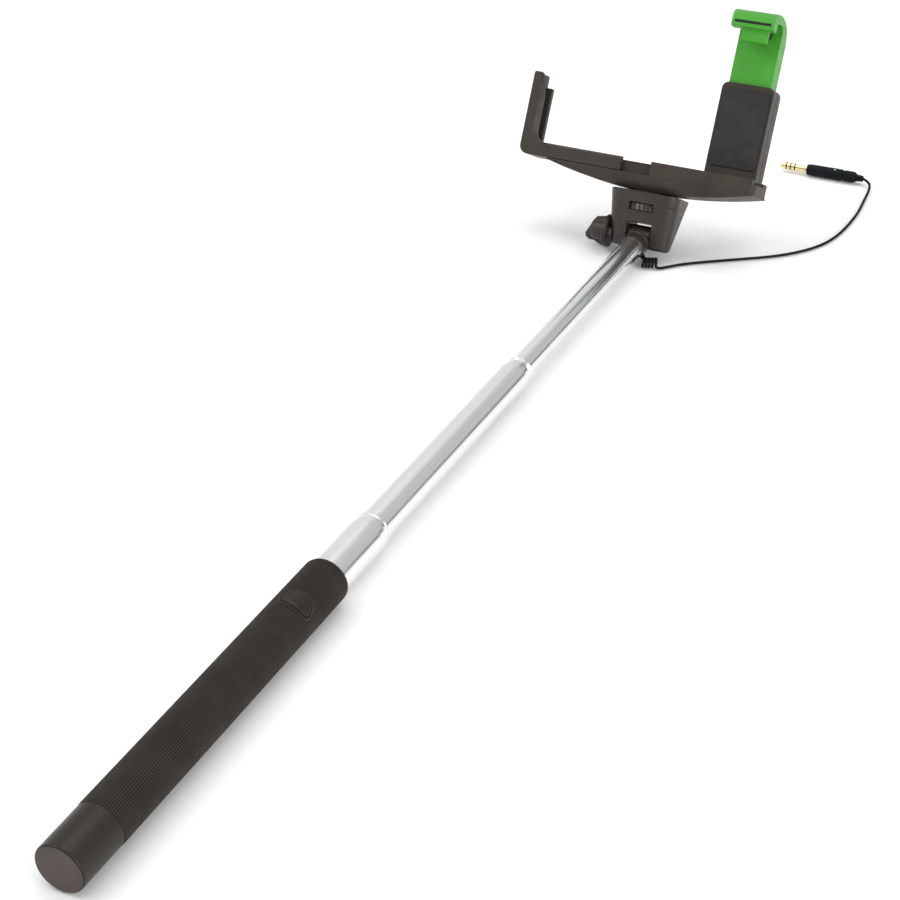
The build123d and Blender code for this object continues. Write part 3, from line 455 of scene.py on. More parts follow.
def make_lead():
    """The lead from its relief through the coil and over the floor to the plug, as one smooth line."""
    route = [LEAD_EXIT, *coil_points(), *LEAD_ROUTE]
    curve = bpy.data.curves.new("lead", "CURVE")
    curve.dimensions = "3D"
    curve.bevel_depth = CORD_RADIUS * MM
    curve.bevel_resolution = 5
    curve.resolution_u = 5
    curve.use_fill_caps = True
    spline = curve.splines.new("NURBS")
    spline.points.add(len(route) - 1)
    for point, (x, y, height) in zip(spline.points, route):
        point.co = (*(STICK @ Vector((x, y, FLOOR + height))), 1.0)
    spline.order_u = 3
    spline.use_endpoint_u = True
    curve.materials.append(lead_rubber)
    lead = bpy.data.objects.new("lead", curve)
    bpy.context.collection.objects.link(lead)
    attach(lead, "inner_section")
    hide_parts("cord", "cord_coil")
    return lead


lead = make_lead()


# ---------------------------------------------------------------- the handle

GRIP_FRONT, GRIP_REAR = 305.0, 446.35
GRIP_RADIUS = 9.15
TUBE_RADIUS = 7.9
RIB_COUNT = 64
SAMPLES_PER_RIB = 8
RIB_DEPTH = 0.36
RIB_GROOVE = 0.17                            # a groove's width, as a share of the rib's
SHOULDER_LENGTH, SHOULDER_DROP = 2.1, 1.25
REAR_LENGTH, REAR_DROP = 0.7, 0.25
BUTTON_REACH = 330.3
BUTTON_UNDERSIDE, BUTTON_TOP = 8.35, 9.7     # radii about the stick's axis
SIGN_BASE, SIGN_TOP = 9.5, 9.76
BUTTON_TURN = radians(25.0)
BUTTON_PLACE = STICK @ Matrix.Translation((0, -BUTTON_REACH, 0)) @ Matrix.Rotation(BUTTON_TURN, 4, "Y")


def smooth_step(value, low, high):
    share = min(max((value - low) / (high - low), 0.0), 1.0)
    return share * share * (3 - 2 * share)


def pick_outline(grow=0.0):
    """The button's rounded three-sided outline: its long side faces the end cap."""
    corners = [(-6.0, -3.7, 1.7), (0, -5.1, 20), (6.0, -3.7, 1.7), (4.3, 2.2, 4.5), (0, 4.6, 3.4),
               (-4.3, 2.2, 4.5)]
    points = rounded(corners, 7)
    grown = []
    for index, point in enumerate(points):
        along = points[(index + 1) % len(points)] - points[index - 1]
        outward = Vector((along.y, -along.x)).normalized()
        grown.append(point + outward * grow)
    return grown


def grip_radius(reach):
    """The sleeve's outline: a rounded shoulder at the front and a small one at the back."""
    from_front = reach - GRIP_FRONT
    if from_front < SHOULDER_LENGTH:
        left = 1 - from_front / SHOULDER_LENGTH
        return GRIP_RADIUS - SHOULDER_DROP + SHOULDER_DROP * (1 - left ** 2) ** 0.5
    return GRIP_RADIUS - REAR_DROP * smooth_step(reach, GRIP_REAR - REAR_LENGTH, GRIP_REAR)


def rib_drop(index):
    """How far the ribbed surface lies under its crests: narrow grooves between wide ribs."""
    across = (index % SAMPLES_PER_RIB) / SAMPLES_PER_RIB - 0.5
    return RIB_DEPTH * exp(-(across / RIB_GROOVE) ** 2)


def make_grip():
    """The ribbed sleeve, with a pocket for the button and its rim."""
    count = RIB_COUNT * SAMPLES_PER_RIB
    shoulder = [GRIP_FRONT + step for step in (0.0, 0.05, 0.2, 0.5, 0.9, 1.4, SHOULDER_LENGTH)]
    rear = [GRIP_REAR - step for step in (130, 100, 80, 60, 40, 20, REAR_LENGTH, 0.45, 0.2, 0.0)]
    rings = []
    for reach in shoulder + rear:
        ring = []
        for index in range(count):
            angle = 2 * pi * index / count
            radius = grip_radius(reach) - rib_drop(index)
            ring.append((radius * sin(angle), -reach, radius * cos(angle)))
        rings.append(ring)
    for reach in (GRIP_REAR, GRIP_FRONT):
        radius = TUBE_RADIUS + 0.02
        angles = [2 * pi * index / count for index in range(count)]
        rings.append([(radius * sin(angle), -reach, radius * cos(angle)) for angle in angles])
    sleeve = loft(rings, looped=True)
    pocket = moved(prism(pick_outline(1.0), 5.0, 12.0), STICK.inverted() @ BUTTON_PLACE)
    piece("grip_skin", cut(sleeve, pocket), STICK, "handle", GRIP, ["grip_sleeve"], 60)


def on_cylinder(point, radius):
    """A point of the button's flat outline laid on a round surface about the stick's axis."""
    return (point[0], point[1], (radius * radius - point[0] * point[0]) ** 0.5)


def make_bezel():
    """A smooth raised rim between the ribs and the button."""
    section = [(0.17, 8.0), (0.17, 9.22), (0.30, 9.36), (0.55, 9.42), (0.80, 9.36), (0.98, 9.2), (0.98, 8.0)]
    rings = [[on_cylinder(point, radius) for point in pick_outline(grow)] for grow, radius in section]
    piece("button_rim", loft(rings, looped=True), BUTTON_PLACE, "handle", GRIP, ["button_bezel"], 60)


def circle(radius, count=32):
    angles = [2 * pi * index / count for index in range(count)]
    return [(radius * cos(angle), radius * sin(angle)) for angle in angles]


def make_button():
    """A shell that follows the grip's roundness, with a rolled edge and a raised camera sign."""
    outline = pick_outline()
    centre = Vector((0.0, -0.9))
    section = [(share, BUTTON_UNDERSIDE) for share in (0.0, 0.25, 0.5, 0.75, 1.0)]
    section += [(1.0, 9.35), (0.985, 9.5), (0.95, 9.6), (0.88, 9.66), (0.80, 9.6), (0.74, 9.55), (0.66, 9.58),
                (0.4, 9.66), (0.2, 9.69), (0.0, BUTTON_TOP)]
    rings = []
    for share, radius in section:
        rings.append([on_cylinder(centre + (point - centre) * max(share, 1e-4), radius) for point in outline])
    cap = loft(rings, capped=False)
    bmesh.ops.remove_doubles(cap, verts=cap.verts, dist=2e-3)
    body = rounded([(-2.0, -1.3, 0.4), (2.0, -1.3, 0.4), (2.0, 1.1, 0.4), (-2.0, 1.1, 0.4)], 3)
    finder = rounded([(-0.8, 1.0, 0.1), (0.8, 1.0, 0.1), (0.5, 1.7, 0.2), (-0.5, 1.7, 0.2)], 3)
    ring = turned([(0, 9.4), (0.85, 9.4), (0.85, 10), (0, 10)], 32, "Z")
    sign = cut(prism(body, SIGN_BASE, SIGN_TOP), ring)
    bump = prism(finder, SIGN_BASE, SIGN_TOP - 0.02)
    middle = prism(circle(0.5), SIGN_BASE, SIGN_TOP - 0.02)
    sign = gathered(sign, bump, middle)
    sign = moved(sign, Matrix.Translation((0, -1.0, 0)))
    piece("button_cap", gathered(cap, sign), BUTTON_PLACE, "shutter_button", BUTTON, ["shutter_button"], 50)


CAP_FRONT, CAP_END = 446.45, 467.6
CAP_RADIUS = 9.0
CAP_SPIGOT_RADIUS, CAP_SPIGOT_FRONT = 7.1, 436.5


def make_end_cap():
    """The cap, with a matt end face whose paler colour is a painted highlight standing in for the light that
    face catches.
    """
    outline = [(0, CAP_END - 0.1), (7.9, CAP_END - 0.02), (CAP_RADIUS, CAP_END, 0.9),
               (CAP_RADIUS, CAP_FRONT, 0.35), (8.0, CAP_FRONT), (CAP_SPIGOT_RADIUS, CAP_FRONT),
               (CAP_SPIGOT_RADIUS, CAP_SPIGOT_FRONT), (0, CAP_SPIGOT_FRONT)]
    profile = [(point[0], point[1]) for point in rounded(outline, 6, closed=False)]
    cap = piece("cap_skin", turned(by_reach(profile), 128), STICK, "handle", CAP, ["end_cap"])
    # the end face gets the paler colour: a painted highlight
    cap.data.materials.append(cap_end_painted_light)
    near_end = (STICK @ Vector((0, 0.6 - CAP_END, 0))).y
    for face in cap.data.polygons:
        if face.normal.y < -0.9 and face.center.y < near_end:
            face.material_index = 1


# ---------------------------------------------------------------- the telescopic tubes

def tube(name, outside, inner_radius, body, node):
    """A tube whose outside is a rounded profile from front to back."""
    front, back = outside[0][1], outside[-1][1]
    profile = [(point[0], point[1]) for point in rounded(outside, 5, closed=False)]
    profile += [(inner_radius, back), (inner_radius, front)]
    return piece(name, turned(by_reach(profile), 128, looped=True), STICK, body, CHROME, [node], 40)


def make_tubes():
    """The outer and middle tubes are necked in at the mouth, where the middle one has two beads."""
    outer = [(6.78, 270.0), (7.28, 270.0, 0.2), (7.28, 271.2, 0.3), (7.1, 271.6, 0.3), (7.62, 274.0, 3.0),
             (7.9, 277.6, 6.0), (7.9, 292.0), (7.9, 446.3)]
    tube("outer_tube_skin", outer, 6.78, "handle", "outer_tube")
    middle = [(5.37, 139.0), (5.92, 139.0, 0.22), (5.92, 139.9, 0.22), (5.66, 140.25, 0.12),
              (6.0, 140.6, 0.22), (6.0, 141.5, 0.22), (5.74, 141.85, 0.12), (6.12, 142.2, 0.3),
              (6.4, 144.2, 2.5), (6.7, 147.2, 4.0), (6.7, 160.0), (6.7, 305.0)]
    tube("middle_tube_skin", middle, 5.37, "middle_section", "middle_tube")
    inner = [(4.52, 8.2), (5.3, 8.2, 0.15), (5.3, 170.0)]
    tube("inner_tube_skin", inner, 4.52, "inner_section", "inner_tube")


# ---------------------------------------------------------------- the stick's tip

RELIEF_SLOPE = radians(56.0)                 # how far below the side the lead leaves the collar


def make_tip():
    """The moulded collar on the tube's end and the short relief that the lead leaves by."""
    collar = [(4.52, 5.4), (5.3, 5.4, 0.1), (6.0, 6.0, 0.4), (6.0, 7.5, 0.4), (5.72, 7.9, 0.15),
              (5.82, 8.4, 0.3), (5.82, 13.2, 0.4), (5.35, 13.8, 0.1), (5.32, 13.8)]
    profile = [(point[0], point[1]) for point in rounded(collar, 4, closed=False)]
    profile += [(5.32, 8.2), (4.52, 8.2)]
    piece("tip_collar_skin", turned(by_reach(profile), 96, looped=True), STICK, "inner_section", BODY,
          ["tip_collar"])
    nub = [(0.0, 5.2), (1.55, 5.2), (1.5, 5.9, 0.3), (1.2, 6.3, 0.3), (1.15, 7.7, 0.25), (0.66, 8.0, 0.1),
           (0.0, 8.0)]
    profile = [(point[0], point[1]) for point in rounded(nub, 4, closed=False)]
    place = STICK @ Matrix.Translation((0, LEAD_EXIT[1], 0)) @ Matrix.Rotation(RELIEF_SLOPE, 4, "Y")
    piece("lead_nub", turned(profile, 40, "X"), place, "inner_section", LEAD, ["cord_relief"])


def make_knuckle():
    """The round eye that the bolt goes through, on its neck in the tube."""
    eye = turned([(0, -5.25), (4.9, -5.25), (5.25, -5.1), (5.38, -4.8), (5.38, 4.8), (5.25, 5.1), (4.9, 5.25),
                  (0, 5.25)], 72, "X")
    neck = turned(by_reach([(0, 0), (4.3, 0), (4.3, 5.5), (4.5, 5.9), (4.5, 24.0), (0, 24.0)]), 64)
    bore = turned([(0, -8), (BOLT_HOLE, -8), (BOLT_HOLE, 8), (0, 8)], 48, "X")
    knuckle = cut(joined(eye, neck), bore)
    piece("knuckle_skin", knuckle, STICK, "inner_section", BODY, ["knuckle"])


# ---------------------------------------------------------------- the head block

BLOCK_BOTTOM, BLOCK_SEAM, BLOCK_TOP = -5.5, 15.1, 20.3
BLOCK_BOTTOM_HALF = (14.2, 4.8)
BLOCK_TOP_HALF = (17.1, 12.4)
BLOCK_CORNERS = (4.2, 6.5)                   # radii at the bottom and the top
BLOCK_FOOT_ROUND = 1.7
SLOT_HALF, SLOT_ROOF = 6.2, 6.2              # the slot for the knuckle
WINDOW_HALF = 6.0
WHEEL_POCKET = (11.3, 17.0)                  # its floor, and above the seam
WHEEL_POCKET_RADIUS = 11.0


def block_ring(y, inset=0.0):
    """A rounded rectangle round the tapered block at one height."""
    share = (y - BLOCK_BOTTOM) / (BLOCK_TOP - BLOCK_BOTTOM)
    wide, deep = [low + (high - low) * share - inset for low, high in zip(BLOCK_BOTTOM_HALF, BLOCK_TOP_HALF)]
    radius = BLOCK_CORNERS[0] + (BLOCK_CORNERS[1] - BLOCK_CORNERS[0]) * share - inset
    corners = [(-wide, -deep, radius), (wide, -deep, radius), (wide, deep, radius), (-wide, deep, radius)]
    return [(point.x, y, point.y) for point in rounded(corners, 10)]


def make_block():
    """The fork round the knuckle and the wheel, and the top screwed on to it."""
    fork = []
    for step in range(0, 91, 15):
        angle = radians(step)
        low, inset = BLOCK_FOOT_ROUND * (1 - cos(angle)), BLOCK_FOOT_ROUND * (1 - sin(angle))
        fork.append(block_ring(BLOCK_BOTTOM + low, inset))
    fork += [block_ring(BLOCK_SEAM - 0.3), block_ring(BLOCK_SEAM, 0.22)]
    slot = block((-SLOT_HALF, SLOT_HALF), (-8, SLOT_ROOF), (-30, 30))
    low, high = WHEEL_POCKET
    wheel_pocket = turned([(0, low), (WHEEL_POCKET_RADIUS, low), (WHEEL_POCKET_RADIUS, high), (0, high)], 96)
    windows = block((-WINDOW_HALF, WINDOW_HALF), WHEEL_POCKET, (-30, 30))
    bolt_hole = turned([(0, -30), (BOLT_HOLE, -30), (BOLT_HOLE, 11.7), (0, 11.7)], 48, "X")
    solid = cut(loft(fork), slot, joined(wheel_pocket, windows), bolt_hole)
    ease_edges(solid, 0.28, 2, 50)
    piece("block_fork_skin", solid, HEAD, "head_block", BODY, ["block_fork"])

    top = [block_ring(BLOCK_SEAM, 0.22), block_ring(BLOCK_SEAM + 0.3), block_ring(BLOCK_TOP - 0.8),
           block_ring(BLOCK_TOP - 0.25, 0.2), block_ring(BLOCK_TOP, 0.75)]
    bore = turned([(0, 10), (STUD_HOLE, 10), (STUD_HOLE, 25), (0, 25)], 48)
    screws = []
    for x in (-14.0, 14.0):
        recess = turned([(0, 19.0), (1.9, 19.0), (1.9, 25), (0, 25)], 32)
        screws.append(moved(recess, Matrix.Translation((x, 0, 0))))
    piece("block_top_skin", cut(loft(top), bore, *screws), HEAD, "head_block", BODY, ["block_top"])


WHEEL_TEETH = 26
WHEEL_ROOT, WHEEL_FLANK, WHEEL_CREST = 9.95, 10.35, 10.6
WHEEL_LOW, WHEEL_HIGH = 11.6, 14.7


def make_thumbwheel():
    half_tooth = [(WHEEL_CREST, 0.14), (WHEEL_FLANK, 0.27), (WHEEL_ROOT, 0.40)]
    tooth_shape = [(radius, -share) for radius, share in reversed(half_tooth)] + half_tooth
    outline = []
    for tooth in range(WHEEL_TEETH):
        for radius, share in tooth_shape:
            angle = 2 * pi * (tooth + share) / WHEEL_TEETH
            outline.append((radius * sin(angle), radius * cos(angle)))
    wheel = ease_edges(prism(outline, WHEEL_LOW, WHEEL_HIGH, "XZ"), 0.22, 2, 60)
    piece("thumbwheel_skin", wheel, HEAD, "thumbwheel", WHEEL, ["thumbwheel"])


WING_ANGLE = radians(95.0)                   # of the lever's long edge, from the stick's axis
WING_HALF_THICKNESS = 2.1


def make_wing_knob():
    """A flat lever with one long and one short lobe, moulded in one with its grooved flange."""
    hub = turned([(0, -15.72), (7.4, -15.72), (7.75, -15.95), (7.75, -16.25), (7.35, -16.4), (7.35, -16.75),
                  (7.75, -16.9), (7.75, -17.7), (7.4, -17.98), (4.8, -18.0), (4.75, -23.2), (4.2, -24.6),
                  (3.2, -25.0), (0, -25.0)], 72, "X")
    outline = rounded([(-17.5, 6.9, 0.9), (-23.4, 5.8, 1.6), (-28.2, -2.4, 1.1), (-28.2, -4.3, 0.9),
                       (-26.4, -5.8, 1.4), (-24.0, -5.8, 2.4), (-20.2, -7.8, 1.6), (-17.5, -8.2, 0.9)], 6)
    wing = ease_edges(prism(outline, -WING_HALF_THICKNESS, WING_HALF_THICKNESS), 0.75, 4, 50)
    mouth = turned([(0, -22.6), (BOLT_HOLE, -22.6), (BOLT_HOLE, -10), (0, -10)], 48, "X")
    knob = moulded_together(cut(joined(hub, wing), mouth), 0.14, 3)
    place = STICK @ Matrix.Rotation(WING_ANGLE, 4, "X")
    piece("wing_knob_skin", knob, place, "wing_knob", BODY, ["wing_knob"], 60)


# ---------------------------------------------------------------- the cradle's lower half

CRADLE_DEPTH = 10.8                          # half the cradle's depth, front and back alike
HULL_LEFT, CRADLE_RIGHT = -51.4, 51.8
HULL_BOTTOM, HULL_TOP = 20.85, 27.95
HULL_HALF_BOTTOM = 7.2
HULL_FULLNESS = 2.36                         # the sides stay upright at first, then turn in
HULL_EDGE = 0.5
SHELF_TOP = 32.4
TRAY_LEFT = -34.5
LIP_BACK = 7.4
LIP_LEFT, LIP_RIGHT = 0.6, 50.0
LIP_TOP = 34.6
REAR_LIP_TOP, REAR_LIP_FRONT = 34.2, -2.4
HOUSING_SIDES = (22.35, 47.45)


def hull_bottom(x):
    """The height of the hull's keel: one long arc from end to end."""
    half = (CRADLE_RIGHT - HULL_LEFT) / 2
    rise = HULL_TOP - HULL_EDGE - HULL_BOTTOM
    radius = (half * half + rise * rise) / (2 * rise)
    from_middle = x - (CRADLE_RIGHT + HULL_LEFT) / 2
    return HULL_BOTTOM + radius - (radius * radius - from_middle * from_middle) ** 0.5


def hull_side(y):
    """Half the hull's depth at a height: it draws in towards the keel."""
    share = (HULL_TOP - y) / (HULL_TOP - HULL_BOTTOM)
    return CRADLE_DEPTH - (CRADLE_DEPTH - HULL_HALF_BOTTOM) * share ** HULL_FULLNESS


def hull_ring(x, low):
    """The hull's outline across the cradle at one place, from its flat top down to the keel."""
    corners = [(HULL_TOP, CRADLE_DEPTH, 0.22)]
    for step in range(1, 5):
        y = HULL_TOP + (low - HULL_TOP) * step / 5
        corners.append((y, hull_side(y)))
    corners.append((low, hull_side(low), min(1.1, 0.3 * (HULL_TOP - low))))
    mirrored = [(corner[0], -corner[1], *corner[2:]) for corner in reversed(corners)]
    return [(x, point.x, point.y) for point in rounded(corners + mirrored, 5)]


def make_hull():
    count = 48
    rings = []
    for step in range(count + 1):
        x = HULL_LEFT + (CRADLE_RIGHT - HULL_LEFT) * step / count
        rings.append(hull_ring(x, hull_bottom(x)))
    bore = turned([(0, 10), (STUD_HOLE, 10), (STUD_HOLE, 30), (0, 30)], 48)
    piece("hull_skin", cut(loft(rings), bore), HEAD, "cradle", CRADLE, ["cradle_hull"])


def along_x(corners, x0, x1, edge=0.3):
    """A bar along X from its (z, y) outline, with eased ends and edges."""
    bar = prism(corners, x0, x1, "ZY")
    return ease_edges(bar, edge, 3, 40)


def make_tray():
    """The shelf under the phone, with a front lip on the right and a low one at the back."""
    bottom = HULL_TOP + 0.02
    low = [(-CRADLE_DEPTH, bottom), (LIP_BACK - 0.15, bottom), (LIP_BACK - 0.15, SHELF_TOP),
           (REAR_LIP_FRONT, SHELF_TOP), (REAR_LIP_FRONT, REAR_LIP_TOP), (-CRADLE_DEPTH, REAR_LIP_TOP)]
    full = [(-CRADLE_DEPTH, bottom), (CRADLE_DEPTH, bottom), (CRADLE_DEPTH, LIP_TOP), (LIP_BACK, LIP_TOP),
            (LIP_BACK, SHELF_TOP), (REAR_LIP_FRONT, SHELF_TOP), (REAR_LIP_FRONT, REAR_LIP_TOP),
            (-CRADLE_DEPTH, REAR_LIP_TOP)]
    left = along_x(low, TRAY_LEFT, LIP_LEFT + 2)
    right = prism(full, LIP_LEFT, CRADLE_RIGHT, "ZY")
    step = block((LIP_RIGHT, CRADLE_RIGHT + 1), (SHELF_TOP, LIP_TOP + 1), (LIP_BACK - 2, CRADLE_DEPTH + 1))
    housing_x = (HOUSING_SIDES[0] - 0.1, HOUSING_SIDES[1] + 0.1)
    housing = block(housing_x, (SHELF_TOP, 50), (-20, REAR_LIP_FRONT + 1))
    corners = []
    for side in (-1, 1):
        corner = [(CRADLE_RIGHT - 2, side * (CRADLE_DEPTH + 0.01)),
                  (CRADLE_RIGHT + 1, side * (CRADLE_DEPTH - 3.0)),
                  (CRADLE_RIGHT + 1, side * (CRADLE_DEPTH + 1))]
        corners.append(prism(corner, 20, 40, "XZ"))
    right = ease_edges(cut(right, step, *corners), 0.4, 3, 40)
    rail_slot = block((TRAY_LEFT - 1, 22.5), (28.8, 31.4), (-5.2, 5.2))
    tray = cut(joined(right, left), housing, rail_slot)
    piece("tray_skin", tray, HEAD, "cradle", CRADLE, ["cradle_tray"], 40)


# ---------------------------------------------------------------- the sliding side arm

ARM_LEFT, ARM_INNER = -66.0, -59.4
ARM_BOTTOM, ARM_TOP = 28.1, 67.4
ARM_LIP_TOP, ARM_LIP_END = 34.8, -14.3
ARM_WALL = 2.2
FOOT_END, FOOT_BACK = -51.4, -7.2
SEAT_CHAMFER = 1.8


def arm_outline(seat, inset):
    """The arm's L seen from the front. seat draws in the edges beside the phone, inset the outer ones."""
    return rounded([
        (ARM_LIP_END - inset, ARM_BOTTOM + inset, 0.3),
        (ARM_LEFT + inset, ARM_BOTTOM + inset, 4.0 - inset),
        (ARM_LEFT + inset, ARM_TOP - inset, 1.0),
        (ARM_LEFT + 3.8 - 0.5 * seat, ARM_TOP - inset, 0.8),
        (ARM_INNER - 0.8 - seat, ARM_TOP - 5.3 - 0.3 * seat, 2.0),
        (ARM_INNER - seat, ARM_TOP - 13, 6.0),
        (ARM_INNER - seat, ARM_LIP_TOP - seat * 0.6, 5.0 + 0.6 * seat),
        (ARM_LIP_END - inset, ARM_LIP_TOP - seat * 0.6, 0.3),
    ], 7)


def make_side_arm():
    """The L-shaped arm: its front lip, end wall, foot and the rib at its back edge."""
    layers = [(LIP_BACK, 0.0, 0.35), (LIP_BACK + 0.12, 0.0, 0.1), (LIP_BACK + 0.35, 0.0, 0.0),
              (CRADLE_DEPTH - SEAT_CHAMFER, 0.0, 0.0), (CRADLE_DEPTH - 0.6, SEAT_CHAMFER - 0.5, 0.0),
              (CRADLE_DEPTH - 0.35, SEAT_CHAMFER - 0.2, 0.04), (CRADLE_DEPTH - 0.1, SEAT_CHAMFER, 0.2),
              (CRADLE_DEPTH, SEAT_CHAMFER + 0.3, 0.5)]
    lip = loft([[(point.x, point.y, z) for point in arm_outline(seat, inset)] for z, seat, inset in layers])
    left = ARM_LEFT + 0.02
    wall = rounded([(left, ARM_BOTTOM + 4.05), (left + ARM_WALL, ARM_BOTTOM + 4.05),
                    (left + ARM_WALL, ARM_TOP - 0.2, 0.6), (left, ARM_TOP - 0.2, 0.8)], 6)
    wall = ease_edges(prism(wall, -4.6, LIP_BACK + 1), 0.4, 3, 50)
    foot = rounded([(left, ARM_BOTTOM + 0.02, 4.0), (FOOT_END, ARM_BOTTOM + 0.02, 0.4),
                    (FOOT_END, SHELF_TOP, 0.4), (left, SHELF_TOP, 0.4)], 7)
    foot = ease_edges(prism(foot, FOOT_BACK, LIP_BACK + 1), 0.4, 3, 50)
    rear = block((left + 0.03, ARM_INNER - 0.7), (ARM_BOTTOM + 2, ARM_TOP - 6), (-4.58, -1.5))
    arm = gathered(lip, wall, foot, ease_edges(rear, 0.5))
    piece("side_arm_skin", arm, HEAD, "side_arm", CRADLE, ["side_arm"], 40)


# ---------------------------------------------------------------- the clamp and its housing

CLAMP_LEFT, CLAMP_RIGHT = 24.8, 45.0
CLAMP_MIDDLE = (CLAMP_LEFT + CLAMP_RIGHT) / 2
NECK_LEFT, NECK_RIGHT = 29.6, 42.1
GROOVE = (103.4, 104.7)
HOUSING_TOP = 78.0
CHANNEL_Z = (-13.55, -3.65)


def make_clamp():
    """A strap up the back that turns over the phone, with a grooved brow and a narrow tongue."""
    outline = rounded([(-3.8, 50, 0.5), (-13.4, 50, 0.5), (-13.4, 99.8, 9.0), (-10.4, 106.0, 6.0),
                       (-4.5, 109.2, 9.0), (2.0, 110.3, 20.0), (8.8, 109.8, 3.2), (12.1, 108.0, 2.2),
                       (12.5, 104.0, 1.5), (12.3, 101.8, 0.5), (9.1, 101.4, 0.4), (9.1, 95.8, 1.09),
                       (6.9, 95.8, 1.09), (6.9, 104.6, 1.6), (5.2, 106.2, 1.2), (-1.8, 106.2, 1.5),
                       (-3.8, 104.2, 1.5)], 8)
    bar = prism(outline, CLAMP_LEFT, CLAMP_RIGHT, "ZY")
    left = block((CLAMP_LEFT - 1, NECK_LEFT), (95, 101.4), (0.2, 20))
    right = block((NECK_RIGHT, CLAMP_RIGHT + 1), (95, 101.4), (0.2, 20))
    slot = block((CLAMP_LEFT + 1.3, CLAMP_RIGHT - 1.5), GROOVE, (9.9, 20))
    hook = ease_edges(cut(bar, left, right, slot), 0.5, 3, 60)
    piece("clamp_skin", hook, HEAD, "top_clamp", GREEN, ["top_clamp"], 40)


def make_clamp_strip():
    left, right = CLAMP_LEFT + 1.32, CLAMP_RIGHT - 1.52
    low, high = GROOVE[0] + 0.02, GROOVE[1] - 0.02
    outline = rounded([(left, low, 0.5), (right, low, 0.5), (right, high, 0.5), (left, high, 0.5)], 5)
    strip = ease_edges(prism(outline, 9.92, 11.9), 0.15, 2, 50)
    piece("clamp_strip_skin", strip, HEAD, "top_clamp", PAD, ["clamp_strip"])


def housing_outline(low):
    left, right = HOUSING_SIDES
    top = HOUSING_TOP
    return rounded([(left, low, 0.5), (right, low, 0.5), (right, top, 3.0), (left, top, 3.0)], 8)


def clamp_channel():
    """The space that the clamp's strap slides in."""
    return block((CLAMP_LEFT - 0.15, CLAMP_RIGHT + 0.15), (35.5, 90), CHANNEL_Z)


def make_housing():
    """The plate behind the phone and its vented cover, with the clamp's channel through both."""
    shell = ease_edges(prism(housing_outline(SHELF_TOP + 0.02), -8.58, -2.2), 0.35, 3, 50)
    piece("housing_skin", cut(shell, clamp_channel()), HEAD, "cradle", CRADLE, ["back_housing"], 40)
    under = block((0, 60), (HULL_TOP - 1, SHELF_TOP), (-CRADLE_DEPTH, 0))
    vents = [block((CLAMP_MIDDLE - 6.2, CLAMP_MIDDLE + 6.2), (50 + 3 * row, 51.2 + 3 * row), (-16, -14.6))
             for row in range(5)]
    recesses = []
    for x in (HOUSING_SIDES[0] + 1.15, HOUSING_SIDES[1] - 1.15):
        for y in (40.0, 72.0):
            recess = turned([(0, -16), (0.95, -16), (0.95, -14.3), (0, -14.3)], 24, "Z")
            recesses.append(moved(recess, Matrix.Translation((x, y, 0))))
    cover = prism(housing_outline(HULL_TOP + 0.02), -15.0, -8.62)
    cover = ease_edges(cut(cover, clamp_channel(), under, *vents, *recesses), 0.3, 3, 60)
    piece("cover_skin", cover, HEAD, "cradle", CRADLE, ["back_cover"], 40)


def make_pads():
    """The rubber pads that the phone bears on: back, end, lower and upper edge."""
    face = rounded([(23.4, 39, 2.0), (46.4, 39, 2.0), (46.4, 75, 2.0), (23.4, 75, 2.0)], 6)
    pad = ease_edges(prism(face, -2.18, -1.2), 0.3, 2, 50)
    piece("back_pad_skin", pad, HEAD, "cradle", PAD, ["back_pad"])
    side = rounded([(-1.0, 37, 1.2), (6.6, 37, 1.2), (6.6, 61.4, 1.2), (-1.0, 61.4, 1.2)], 6)
    pad = ease_edges(prism(side, ARM_LEFT + ARM_WALL + 0.01, ARM_LEFT + ARM_WALL + 0.7, "ZY"), 0.2, 2, 50)
    piece("arm_pad_skin", pad, HEAD, "side_arm", PAD, ["arm_pad"])
    plan = rounded([(TRAY_LEFT + 2, -1.8, 0.8), (LIP_RIGHT - 1, -1.8, 0.8), (LIP_RIGHT - 1, 6.6, 0.8),
                    (TRAY_LEFT + 2, 6.6, 0.8)], 5)
    pad = ease_edges(prism(plan, SHELF_TOP + 0.01, SHELF_TOP + 0.5, "XZ"), 0.15, 2, 50)
    piece("shelf_pad_skin", pad, HEAD, "cradle", PAD, ["shelf_pad"])
    grip = rounded([(-2.6, 99.5, 1.0), (6.4, 99.5, 1.0), (6.4, 103.3, 0.8), (4.3, 106.15, 0.3),
                    (-1.0, 106.15, 0.3), (-2.6, 103.3, 0.8)], 5)
    pad = ease_edges(prism(grip, NECK_LEFT - 0.8, NECK_RIGHT - 1.3, "ZY"), 0.4, 3, 50)
    piece("clamp_pad_skin", pad, HEAD, "top_clamp", PAD, ["clamp_pad"])


# ---------------------------------------------------------------- the plug

